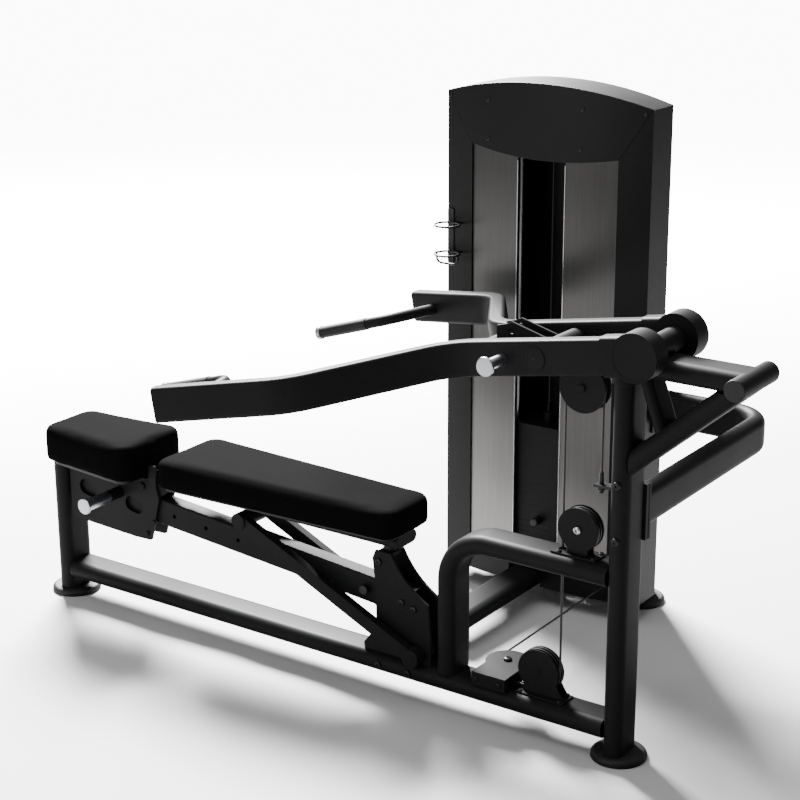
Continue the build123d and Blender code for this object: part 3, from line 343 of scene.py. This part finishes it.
def leather_group():
    """Pebbled grain of a vinyl pad cover."""
    group, start, end = new_group(
        "Vinyl grain",
        [("Scale", "NodeSocketFloat", 420.0), ("Depth", "NodeSocketFloat", 0.25)],
        [("Normal", "NodeSocketVector"), ("Crease", "NodeSocketFloat")])
    link = group.links.new
    place = add(group, "ShaderNodeTexCoord")
    cells = add(group, "ShaderNodeTexVoronoi", feature="DISTANCE_TO_EDGE")
    fine = add(group, "ShaderNodeTexNoise", {"Scale": 1500.0, "Detail": 2.0})
    soft = add(group, "ShaderNodeMapRange", {"From Min": 0.0, "From Max": 0.25})
    mixed = add(group, "ShaderNodeMath", {1: 0.8}, operation="MULTIPLY_ADD")
    bump = add(group, "ShaderNodeBump", {"Distance": 0.0003})
    link(place.outputs["Object"], cells.inputs["Vector"])
    link(place.outputs["Object"], fine.inputs["Vector"])
    link(start.outputs["Scale"], cells.inputs["Scale"])
    link(cells.outputs["Distance"], soft.inputs["Value"])
    link(soft.outputs[0], mixed.inputs[0])
    link(fine.outputs["Fac"], mixed.inputs[2])
    link(mixed.outputs[0], bump.inputs["Height"])
    link(start.outputs["Depth"], bump.inputs["Strength"])
    link(bump.outputs["Normal"], end.inputs["Normal"])
    link(soft.outputs[0], end.inputs["Crease"])
    return group


# ---------------------------------------------------------------- materials
def new_material(name):
    """A material, its node tree and its shader."""
    material = bpy.data.materials.new(name)
    material.use_nodes = True
    return material, material.node_tree, material.node_tree.nodes["Principled BSDF"]


def use_group(tree, group, values):
    """A node that uses a shader group with the given inputs."""
    node = tree.nodes.new("ShaderNodeGroup")
    node.node_tree = group
    for key, value in values.items():
        node.inputs[key].default_value = value
    return node


def coated(name, colour, roughness, depth=0.2, scale=700.0, metallic=0.0, dust=0.02, specular=0.5,
           variation=0.12):
    """A painted, moulded or plain metal finish: slow tone change over fine grain."""
    material, tree, shader = new_material(name)
    tone = use_group(tree, GROUPS["tone"], {"Colour": (*colour, 1), "Dust": dust,
                                            "Variation": variation})
    grain = use_group(tree, GROUPS["grain"], {"Scale": scale, "Depth": depth,
                                              "Roughness": roughness})
    shader.inputs["Metallic"].default_value = metallic
    shader.inputs["Specular IOR Level"].default_value = specular
    tree.links.new(tone.outputs["Colour"], shader.inputs["Base Color"])
    tree.links.new(grain.outputs["Roughness"], shader.inputs["Roughness"])
    tree.links.new(grain.outputs["Normal"], shader.inputs["Normal"])
    return material


def brushed(name, colour, roughness, contrast=0.12, top=1.0):
    """A brushed metal sheet; top is its colour high up, as a share of its colour low down, which
    paints shade on its upper part.
    """
    material, tree, shader = new_material(name)
    lines = use_group(tree, GROUPS["brush"], {"Colour": (*colour, 1), "Roughness": roughness,
                                              "Contrast": contrast, "Top": top})
    shader.inputs["Metallic"].default_value = 1.0
    shader.inputs["Anisotropic"].default_value = 0.5
    tree.links.new(lines.outputs["Colour"], shader.inputs["Base Color"])
    tree.links.new(lines.outputs["Roughness"], shader.inputs["Roughness"])
    tree.links.new(lines.outputs["Normal"], shader.inputs["Normal"])
    return material


def vinyl(name, colour):
    """A matt pad cover whose creases are a little rougher than its pebbles."""
    material, tree, shader = new_material(name)
    grain = use_group(tree, GROUPS["leather"], {})
    tone = use_group(tree, GROUPS["tone"], {"Colour": (*colour, 1), "Dust": 0.0015,
                                            "Variation": 0.1})
    rough = add(tree, "ShaderNodeMapRange", {"To Min": 0.8, "To Max": 0.68})
    shader.inputs["Specular IOR Level"].default_value = 0.004
    tree.links.new(tone.outputs["Colour"], shader.inputs["Base Color"])
    tree.links.new(grain.outputs["Crease"], rough.inputs["Value"])
    tree.links.new(rough.outputs[0], shader.inputs["Roughness"])
    tree.links.new(grain.outputs["Normal"], shader.inputs["Normal"])
    return material


def cable_skin(name, pitch):
    """Nylon-coated steel cable: slanting strands show through the coat."""
    material, tree, shader = new_material(name)
    place = add(tree, "ShaderNodeTexCoord")
    bands = add(tree, "ShaderNodeTexWave", {"Scale": 1 / (pitch * 6), "Distortion": 0.0},
                bands_direction="DIAGONAL")
    bump = add(tree, "ShaderNodeBump", {"Strength": 0.3, "Distance": 0.0003})
    shader.inputs["Base Color"].default_value = (0.02, 0.02, 0.021, 1)
    shader.inputs["Roughness"].default_value = 0.32
    tree.links.new(place.outputs["Object"], bands.inputs["Vector"])
    tree.links.new(bands.outputs["Fac"], bump.inputs["Height"])
    tree.links.new(bump.outputs["Normal"], shader.inputs["Normal"])
    return material


def studio_floor(name, grey, backdrop):
    """Floor that fades into the white backdrop and throws little light back up at the object."""
    material, tree, shader = new_material(name)
    place = add(tree, "ShaderNodeTexCoord")
    away = add(tree, "ShaderNodeVectorMath", operation="LENGTH")
    fade = add(tree, "ShaderNodeMapRange",
               {"From Min": FADE_START, "From Max": FADE_END, "To Max": backdrop},
               interpolation_type="SMOOTHSTEP")
    shown = add(tree, "ShaderNodeMath", operation="MULTIPLY")
    path = add(tree, "ShaderNodeLightPath")
    seen = add(tree, "ShaderNodeMapRange", {"To Min": FLOOR_BOUNCE * grey, "To Max": grey})
    tree.links.new(place.outputs["Object"], away.inputs[0])
    tree.links.new(away.outputs["Value"], fade.inputs["Value"])
    tree.links.new(path.outputs["Is Camera Ray"], seen.inputs["Value"])
    tree.links.new(seen.outputs[0], shader.inputs["Base Color"])
    tree.links.new(fade.outputs[0], shown.inputs[0])
    tree.links.new(path.outputs["Is Camera Ray"], shown.inputs[1])
    tree.links.new(shown.outputs[0], shader.inputs["Emission Strength"])
    shader.inputs["Emission Color"].default_value = WHITE
    shader.inputs["Roughness"].default_value = 0.9
    shader.inputs["Specular IOR Level"].default_value = 0.0
    return material


GROUPS = {}
FINISH = {}


def build_finishes():
    """Make every shader group and material from the settings."""
    scene = bpy.context.scene
    finish = scene.mp_finish
    GROUPS.update(grain=grain_group(), tone=tone_group(), brush=brush_group(),
                  leather=leather_group())
    FINISH.update(
        black_frame=coated("Powder coat", finish.frame_colour, 0.46, depth=0.35, scale=620.0,
                           dust=0.003, specular=0.085),
        tower_black=coated("Shroud paint", finish.shroud_colour, 0.42, depth=0.12, scale=500.0,
                           dust=0.003, specular=0.25),
        black_plastic=coated("Black plastic", (0.008, 0.008, 0.0083), 0.42, depth=0.25,
                             scale=900.0),
        bright_metal=coated("Bright metal", finish.bright_colour, 0.28, depth=0.03, metallic=1.0,
                            dust=0.0, variation=0.04),
        machined_steel=coated("Machined steel", (0.55, 0.55, 0.56), 0.25, depth=0.05,
                              metallic=1.0, dust=0.0),
        dark_bolt=coated("Blackened steel", (0.03, 0.03, 0.031), 0.34, depth=0.08, metallic=0.7,
                         dust=0.0),
        # top=0.3 is painted shade: the sheets darken to 0.3 of their colour towards their tops
        dark_brushed=brushed("Brushed sheet", finish.panel_colour, 0.36, top=0.3),
        # painted highlight: a bright copy of the sheet's brushed metal, laid along its folded
        # window edge
        bright_fold=brushed("Bright fold", (0.75, 0.75, 0.74), 0.25, contrast=0.05),
        pad_cover=vinyl("Pad vinyl", finish.pad_colour),
        black_rubber=coated("Rubber", (0.007, 0.007, 0.007), 0.55, depth=0.4, scale=1100.0,
                            dust=0.04),
        stack_iron=coated("Painted iron", (0.004, 0.004, 0.0042), 0.5, depth=0.45, scale=260.0,
                          dust=0.004, specular=0.25),
        cable_jacket=cable_skin("Cable", scene.mp_detail.strand_pitch),
        floor=studio_floor("Studio floor", scene.mp_stage.floor_grey, scene.mp_stage.backdrop),
    )


# ---------------------------------------------------------------- making pieces
def set_smooth(bm):
    """Smooth shading that breaks at sharp turns."""
    for face in bm.faces:
        face.smooth = True
    for edge in bm.edges:
        edge.smooth = len(edge.link_faces) == 2 and edge.calc_face_angle(0) <= SHARP


def finish_piece(name, bm, material, node, replace=False, bevel=0.0):
    """Turn a bmesh into a piece that rides with a CAD node's body."""
    set_smooth(bm)
    mesh = bpy.data.meshes.new(name)
    bm.to_mesh(mesh)
    bm.free()
    piece = bpy.data.objects.new(name, mesh)
    bpy.context.scene.collection.objects.link(piece)
    mesh.materials.append(FINISH[material])
    if bevel:
        rounding = piece.modifiers.new("Edge rounding", "BEVEL")
        rounding.width = bevel
        rounding.segments = ROUNDING_STEPS
        rounding.limit_method = "ANGLE"
        rounding.angle_limit = SHARP
        rounding.use_clamp_overlap = True
    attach(piece, BODY_OF[node])
    if replace:
        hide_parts(node)


def paint(node, material):
    """Give a CAD node's own mesh a finish."""
    mesh = NODES[node].data
    mesh.materials.clear()
    mesh.materials.append(FINISH[material])


def copied(node, flatten=True):
    """A merged copy of a CAD node's mesh, with the triangles of its flat faces joined."""
    bm = bmesh.new()
    bm.from_mesh(NODES[node].data)
    bmesh.ops.remove_doubles(bm, verts=bm.verts, dist=MERGE)
    if flatten:
        bmesh.ops.dissolve_limit(bm, angle_limit=FLAT, verts=bm.verts, edges=bm.edges)
    return bm


def plates(node, material, bevel):
    """A pile of touching plates, each merged on its own so that its edges can be rounded."""
    low, high = extent(NODES[node].data.vertices)
    parts = []
    for number in range(round((high.z - low.z) / PLATE)):
        bm = bmesh.new()
        bm.from_mesh(NODES[node].data)
        bottom = low.z + number * PLATE
        others = [f for f in bm.faces
                  if not 0 < f.calc_center_median().z - f.normal.z * INSIDE - bottom < PLATE]
        bmesh.ops.delete(bm, geom=others, context="FACES")
        bmesh.ops.remove_doubles(bm, verts=bm.verts, dist=MERGE)
        bmesh.ops.dissolve_limit(bm, angle_limit=FLAT, verts=bm.verts, edges=bm.edges)
        parts.append(bm)
    finish_piece(node + "_finished", joined(parts), material, node, replace=True, bevel=bevel)


def rounded_copy(node, material, bevel=None, flatten=True):
    """The CAD node again, with its cut edges rounded off."""
    width = bpy.context.scene.mp_finish.edge_radius if bevel is None else bevel
    finish_piece(node + "_finished", copied(node, flatten), material, node, replace=True,
                 bevel=width)


def turned(profile, start, direction, segments=48):
    """Lathe a profile of (distance along, radius) points round an axis."""
    bm = bmesh.new()
    points = [bm.verts.new((radius, 0, along)) for along, radius in profile]
    edges = [bm.edges.new(pair) for pair in zip(points, points[1:])]
    bmesh.ops.spin(bm, geom=points + edges, cent=(0, 0, 0), axis=(0, 0, 1), dvec=(0, 0, 0),
                   angle=math.tau, steps=segments, use_merge=True, use_duplicate=False)
    bmesh.ops.remove_doubles(bm, verts=bm.verts, dist=MERGE)
    bmesh.ops.recalc_face_normals(bm, faces=bm.faces)
    turn = Vector((0, 0, 1)).rotation_difference(Vector(direction).normalized())
    bmesh.ops.transform(bm, matrix=Matrix.Translation(start) @ turn.to_matrix().to_4x4(),
                        verts=bm.verts)
    return bm


def joined(parts):
    """Several bmeshes as one."""
    whole = bmesh.new()
    for part in parts:
        mesh = bpy.data.meshes.new("part")
        part.to_mesh(mesh)
        part.free()
        whole.from_mesh(mesh)
        bpy.data.meshes.remove(mesh)
    return whole


def socket_screw(place, direction, radius, height, sides):
    """Button-head screw with a round, slightly tapered socket."""
    socket, depth = 0.42 * radius, 0.45 * height
    profile = [(0, 0), (0, radius), (0.35 * height, radius), (0.75 * height, 0.88 * radius),
               (height, 0.6 * radius), (height, socket), (depth, 0.9 * socket), (depth, 0)]
    return turned(profile, place, direction, sides)


def near_cap():
    """Middle of the outer face of the tie's near end disc."""
    bm = copied("arm_ties")
    outer = min(v.co.y for v in bm.verts)
    near = [v.co for v in bm.verts if v.co.y < outer + MERGE]
    middle = sum((Vector(co) for co in near), Vector()) / len(near)
    bm.free()
    return Vector((middle.x, outer, middle.z))


def islands(bm):
    """Vertex sets of the separate solids in a bmesh."""
    left = set(bm.verts)
    found = []
    while left:
        stack = [left.pop()]
        group = set(stack)
        while stack:
            for edge in stack.pop().link_edges:
                for vert in edge.verts:
                    if vert in left:
                        left.remove(vert)
                        group.add(vert)
                        stack.append(vert)
        found.append(group)
    return found


def extent(verts):
    """Lowest and highest corner of some vertices."""
    low = Vector([min(v.co[i] for v in verts) for i in range(3)])
    high = Vector([max(v.co[i] for v in verts) for i in range(3)])
    return low, high


def box_size(verts):
    """Sides of the box round some vertices."""
    low, high = extent(verts)
    return high - low


def heads(node):
    """(foot, direction, radius, height) of each small round head of a CAD node."""
    bm = copied(node)
    found = []
    for group in islands(bm):
        low, high = extent(group)
        size = high - low
        if max(size) > SCREW_SIZE:
            continue
        thin = min(range(3), key=lambda axis: size[axis])
        foot = (low + high) / 2
        sign = -1 if thin == 1 and (low.y < 0 or foot.y > TOWER_FRONT) else 1
        foot[thin] = low[thin] if sign > 0 else high[thin]
        direction = Vector((0, 0, 0))
        direction[thin] = sign
        found.append((foot, direction, max(size) / 2, size[thin]))
    bm.free()
    return sorted(found, key=lambda head: tuple(head[0]))


# ---------------------------------------------------------------- operators
class PieceOperator:
    """What all the operators share: each one builds its own group of pieces."""
    bl_options = {"REGISTER"}

    def execute(self, context):
        self.build(context.scene)
        return {"FINISHED"}


FRAME_NODES = ("base_frame", "tower_base", "seat_post", "pivot_post", "step_tube",
               "pivot_barrel", "rear_beam", "rear_brace", "slide_rail", "pedestal", "link_tube",
               "tower_uprights", "middle_bracket", "lower_bracket", "turn_bracket")


class MP_OT_frame(PieceOperator, bpy.types.Operator):
    """Frame tubes, brackets and the bench's rail, with rounded cut edges"""
    bl_idname = "multi_press.frame"
    bl_label = "Frame tubes"

    def build(self, scene):
        for node in FRAME_NODES:
            rounded_copy(node, "black_frame")
        rounded_copy("end_stop_pin", "black_plastic", PIN_EDGE)
        rounded_copy("tube_caps", "black_plastic", SOFT_EDGE)
        rounded_copy("feet", "black_rubber", FOOT_EDGE)
        rounded_copy("rubber_bumpers", "black_rubber", SOFT_EDGE)


class MP_OT_arms(PieceOperator, bpy.types.Operator):
    """Press arms with their hubs, ties and web"""
    bl_idname = "multi_press.arms"
    bl_label = "Press arms"

    def build(self, scene):
        for node in ("press_arm_near", "press_arm_far", "arm_hubs", "arm_ties", "arm_web"):
            rounded_copy(node, "black_frame")
        rounded_copy("moving_yoke", "black_frame", FINE_EDGE, flatten=False)
        rounded_copy("handles", "black_frame", FINE_EDGE)
        paint("pivot_shaft", "machined_steel")


class MP_OT_bench(PieceOperator, bpy.types.Operator):
    """Seat carriage, backrest frame, strut and foot pegs"""
    bl_idname = "multi_press.bench"
    bl_label = "Bench metalwork"

    def build(self, scene):
        for node in ("seat_carriage", "back_frame", "strut_frame", "foot_pegs"):
            rounded_copy(node, "black_frame")
        rounded_copy("strut_end_caps", "black_frame", SMALL_EDGE)


class MP_OT_bright(PieceOperator, bpy.types.Operator):
    """Silver pegs and caps, and the wire bottle holder"""
    bl_idname = "multi_press.bright"
    bl_label = "Bright pegs"

    def build(self, scene):
        rounded_copy("bright_pegs", "bright_metal", SMALL_EDGE)
        rounded_copy("foot_peg_sleeves", "bright_metal", SMALL_EDGE)
        rounded_copy("bottle_holder", "black_plastic", FINE_EDGE)


class MP_OT_tower(PieceOperator, bpy.types.Operator):
    """Shroud, header, brushed sheets and the painted highlights on their folds"""
    bl_idname = "multi_press.tower"
    bl_label = "Weight tower"

    def build(self, scene):
        for node in ("tower_stiles", "tower_shell"):
            rounded_copy(node, "tower_black", SOFT_EDGE)
        bm = copied("tower_header")
        screws = [v for group in islands(bm) if max(box_size(group)) < SCREW_SIZE for v in group]
        bmesh.ops.delete(bm, geom=screws, context="VERTS")
        finish_piece("tower_header_finished", bm, "tower_black", "tower_header", replace=True,
                     bevel=SOFT_EDGE)
        rounded_copy("tower_panels", "dark_brushed", FINE_EDGE)
        self.paint_edge_highlight(scene.mp_detail.edge_highlight_width)

    def paint_edge_highlight(self, width):
        """Painted highlight: bright strips along the sheets' folded edges beside the window."""
        bm = copied("tower_panels")
        strips = []
        for group in islands(bm):
            low, high = extent(group)
            inner = high.x if abs(high.x - TOWER_X) < abs(low.x - TOWER_X) else low.x
            front = min(v.co.y for v in group if abs(v.co.x - inner) < HIGHLIGHT_REACH)
            span = high.z - HIGHLIGHT_STOP - low.z
            shape = (Matrix.Translation((inner, front, low.z + span / 2))
                     @ Matrix.Diagonal((width, HIGHLIGHT_DEPTH, span, 1)))
            strip = bmesh.new()
            bmesh.ops.create_cube(strip, size=1)
            bmesh.ops.transform(strip, verts=strip.verts, matrix=shape)
            strips.append(strip)
        bm.free()
        finish_piece("window_trim", joined(strips), "bright_fold", "tower_panels",
                     bevel=HIGHLIGHT_EDGE)


class MP_OT_stack(PieceOperator, bpy.types.Operator):
    """Weight plates, stem, pin and guide rods"""
    bl_idname = "multi_press.stack"
    bl_label = "Weight stack"

    def build(self, scene):
        plates("resting_plates", "stack_iron", PLATE_EDGE)
        plates("lifted_plates", "stack_iron", PLATE_EDGE)
        rounded_copy("stack_stem", "stack_iron", PLATE_EDGE)
        rounded_copy("selector_pin", "black_plastic", MOULDED_EDGE)
        paint("guide_rods", "machined_steel")


class MP_OT_pulleys(PieceOperator, bpy.types.Operator):
    """Pulley wheels, the cable and its anchor"""
    bl_idname = "multi_press.pulleys"
    bl_label = "Pulleys and cable"

    def build(self, scene):
        for node in ("moving_sheave", "middle_sheave", "lower_sheave", "turn_sheave",
                     "tower_pulleys"):
            rounded_copy(node, "black_plastic", MOULDED_EDGE)
        for node in ("cable_run_fixed", "cable_run_long", "cable_base", "cable_wrap",
                     "cable_stack_run"):
            paint(node, "cable_jacket")
        rounded_copy("cable_anchor", "dark_bolt", SMALL_EDGE)


class MP_OT_fasteners(PieceOperator, bpy.types.Operator):
    """Socket screws in place of the plain heads, and the mark on the tie's end disc"""
    bl_idname = "multi_press.fasteners"
    bl_label = "Fasteners"

    def build(self, scene):
        detail = scene.mp_detail
        sides = detail.screw_sides
        bright, dark = [], []
        for foot, direction, radius, height in heads("frame_bolts"):
            screw = socket_screw(foot, direction, radius, height, sides)
            (bright if (foot - MIDDLE_BOLT).length < SCREW_SIZE else dark).append(screw)
        finish_piece("frame_screws", joined(dark), "dark_bolt", "frame_bolts", replace=True)
        finish_piece("middle_wheel_screws", joined(bright), "machined_steel", "frame_bolts")
        header = [socket_screw(foot, direction, HEADER_SCREW_SCALE * radius, height, sides)
                  for foot, direction, radius, height in heads("tower_header")]
        finish_piece("header_screws", joined(header), "dark_bolt", "tower_header")
        profile = [(-MARK_SUNK, 0), (-MARK_SUNK, detail.mark_radius),
                   (MARK_RISE, detail.mark_radius), (MARK_RISE, 0)]
        mark = turned(profile, near_cap(), (0, -1, 0), MARK_SIDES)
        finish_piece("arm_cap_marks", mark, "dark_bolt", "arm_ties")


class MP_OT_grips(PieceOperator, bpy.types.Operator):
    """Rubber hand grips"""
    bl_idname = "multi_press.grips"
    bl_label = "Hand grips"

    def build(self, scene):
        rounded_copy("handle_grips", "black_rubber", SOFT_EDGE)


def pad_solids(node):
    """A pad's CAD node, and the vertices of its cushion, which is its highest solid."""
    bm = copied(node)
    return bm, max(islands(bm), key=lambda group: extent(group)[1].z)


def blow_up(pad, pressure):
    """Let the foam's pressure fill a cover."""
    cloth = pad.modifiers.new("Cloth", "CLOTH")
    cloth.settings.use_pressure = True
    cloth.settings.uniform_pressure_force = pressure
    cloth.settings.effector_weights.gravity = 0
    cloth.settings.quality = CLOTH_QUALITY
    for number in range(1, CLOTH_FRAMES + 1):
        bpy.context.scene.frame_set(number)
    apply_modifiers(pad)
    bpy.context.scene.frame_set(1)


def blown_pad(node, pads, dip):
    """Foam pad: the CAD cushion, remeshed and blown up under its cover."""
    bm, cushion = pad_solids(node)
    bmesh.ops.delete(bm, geom=[v for v in bm.verts if v not in cushion], context="VERTS")
    low, high = extent(bm.verts)
    middle = (low + high) / 2
    size = high - low
    shrink = pads.swell * PAD_INSET
    scale = [1 - 2 * shrink / size[i] for i in range(3)]
    inset = (Matrix.Translation(middle) @ Matrix.Diagonal((*scale, 1))
             @ Matrix.Translation(-middle))
    bmesh.ops.transform(bm, verts=bm.verts, matrix=inset)
    mesh = bpy.data.meshes.new(node + "_cover")
    bm.to_mesh(mesh)
    bm.free()
    pad = bpy.data.objects.new(node + "_cover", mesh)
    bpy.context.scene.collection.objects.link(pad)
    remesh = pad.modifiers.new("Remesh", "REMESH")
    remesh.mode = "VOXEL"
    remesh.voxel_size = pads.voxel
    apply_modifiers(pad)
    rest = [v.co.copy() for v in pad.data.vertices]
    blow_up(pad, pads.pressure)
    for vert, start in zip(pad.data.vertices, rest):
        move = vert.co - start
        if move.length > pads.swell:
            vert.co = start + move.normalized() * pads.swell
        rise = max(0.0, (vert.co.z - low.z) / size.z)
        along = (vert.co.x - middle.x) / (size.x / 2)
        side = abs(vert.co.y - middle.y) / (size.y / 2)
        vert.co.z -= dip * rise * side ** 2 * max(0.0, 1 - along ** 2)
        vert.co.z = max(vert.co.z, low.z + PAD_CLEAR_BOARD)
        vert.co.x = min(vert.co.x, high.x - pads.clear)
    smooth = pad.modifiers.new("Cover smoothing", "SMOOTH")
    smooth.factor = SMOOTH_FACTOR
    smooth.iterations = SMOOTH_STEPS
    subdivision = pad.modifiers.new("Subdivision", "SUBSURF")
    subdivision.levels = 1
    subdivision.render_levels = 1
    apply_modifiers(pad)
    for polygon in pad.data.polygons:
        polygon.use_smooth = True
    pad.data.materials.clear()
    pad.data.materials.append(FINISH["pad_cover"])
    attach(pad, BODY_OF[node])
    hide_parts(node)


def apply_modifiers(piece):
    """Bake a piece's modifiers into its mesh."""
    graph = bpy.context.evaluated_depsgraph_get()
    mesh = bpy.data.meshes.new_from_object(piece.evaluated_get(graph))
    old = piece.data
    piece.modifiers.clear()
    piece.data = mesh
    bpy.data.meshes.remove(old)


def board(node):
    """The board under a pad: whatever is left of the CAD node without its cushion."""
    bm, cushion = pad_solids(node)
    bmesh.ops.delete(bm, geom=list(cushion), context="VERTS")
    finish_piece(node + "_board", bm, "black_plastic", node, bevel=SOFT_EDGE)


class MP_OT_pads(PieceOperator, bpy.types.Operator):
    """Seat and back pads with their boards"""
    bl_idname = "multi_press.pads"
    bl_label = "Pads"

    def build(self, scene):
        pads = scene.mp_pads
        blown_pad("seat_pad", pads, pads.saddle)
        blown_pad("back_pad", pads, 0.0)
        board("seat_pad")
        board("back_pad")


def area_light(name, place, aim, size, energy):
    """A softbox that lights the object but isn't seen by the camera."""
    data = bpy.data.lights.new(name, "AREA")
    data.shape = "RECTANGLE"
    data.size, data.size_y = size
    data.energy = energy
    light = bpy.data.objects.new(name, data)
    light.location = place
    light.rotation_euler = (Vector(aim) - Vector(place)).to_track_quat("-Z", "Y").to_euler()
    light.visible_camera = False
    bpy.context.scene.collection.objects.link(light)


class MP_OT_stage(PieceOperator, bpy.types.Operator):
    """Floor, lights and camera"""
    bl_idname = "multi_press.stage"
    bl_label = "Studio"

    def build(self, scene):
        stage = scene.mp_stage
        self.lay_floor(scene)
        self.build_world(scene, stage)
        for name, place, aim, size in LIGHTS:
            area_light(name, place, aim, size, getattr(stage, name))
        self.place_camera(scene, stage)

    def lay_floor(self, scene):
        """A wide sheet just under the feet."""
        bm = bmesh.new()
        bmesh.ops.create_grid(bm, x_segments=1, y_segments=1, size=FLOOR_SIZE)
        mesh = bpy.data.meshes.new("floor")
        bm.to_mesh(mesh)
        bm.free()
        floor = bpy.data.objects.new("floor", mesh)
        floor.location.z = -FLOOR_DROP
        mesh.materials.append(FINISH["floor"])
        scene.collection.objects.link(floor)

    def build_world(self, scene, stage):
        """A wall that the camera sees white, but that lights the object only faintly."""
        world = bpy.data.worlds.new("Studio")
        world.use_nodes = True
        tree = world.node_tree
        path = add(tree, "ShaderNodeLightPath")
        seen = add(tree, "ShaderNodeMapRange", {"To Min": stage.fill, "To Max": stage.backdrop})
        background = tree.nodes["Background"]
        background.inputs["Color"].default_value = WHITE
        tree.links.new(path.outputs["Is Camera Ray"], seen.inputs["Value"])
        tree.links.new(seen.outputs[0], background.inputs["Strength"])
        scene.world = world

    def place_camera(self, scene, stage):
        """The camera, where the settings put it."""
        data = bpy.data.cameras.new("camera")
        data.lens = stage.lens
        data.sensor_width = SENSOR_WIDTH
        data.shift_x, data.shift_y = stage.shift
        data.clip_end = VIEW_END
        camera = bpy.data.objects.new("camera", data)
        camera.location = stage.place
        camera.rotation_euler = (math.pi / 2 - stage.pitch, 0, stage.azimuth)
        scene.collection.objects.link(camera)
        scene.camera = camera


OPERATORS = (MP_OT_frame, MP_OT_arms, MP_OT_bench, MP_OT_bright, MP_OT_grips, MP_OT_tower,
             MP_OT_stack, MP_OT_pulleys, MP_OT_fasteners, MP_OT_pads, MP_OT_stage)


class MP_PT_panel(bpy.types.Panel):
    """One button for each operator"""
    bl_label = "Multi-press"
    bl_idname = "MP_PT_panel"
    bl_space_type = "VIEW_3D"
    bl_region_type = "UI"
    bl_category = "Multi-press"

    def draw(self, context):
        for operator in OPERATORS:
            self.layout.operator(operator.bl_idname)


def register():
    for group in SETTINGS.values():
        bpy.utils.register_class(group)
    for name, group in SETTINGS.items():
        setattr(bpy.types.Scene, name, PointerProperty(type=group))
    for cls in (*OPERATORS, MP_PT_panel):
        bpy.utils.register_class(cls)


def unregister():
    for cls in reversed((*OPERATORS, MP_PT_panel)):
        bpy.utils.unregister_class(cls)
    for name in SETTINGS:
        delattr(bpy.types.Scene, name)
    for group in SETTINGS.values():
        bpy.utils.unregister_class(group)


def main():
    """Build everything in order."""
    register()
    build_finishes()
    for operator in OPERATORS:
        group, name = operator.bl_idname.split(".")
        getattr(getattr(bpy.ops, group), name)()


if __name__ == "__main__":
    main()
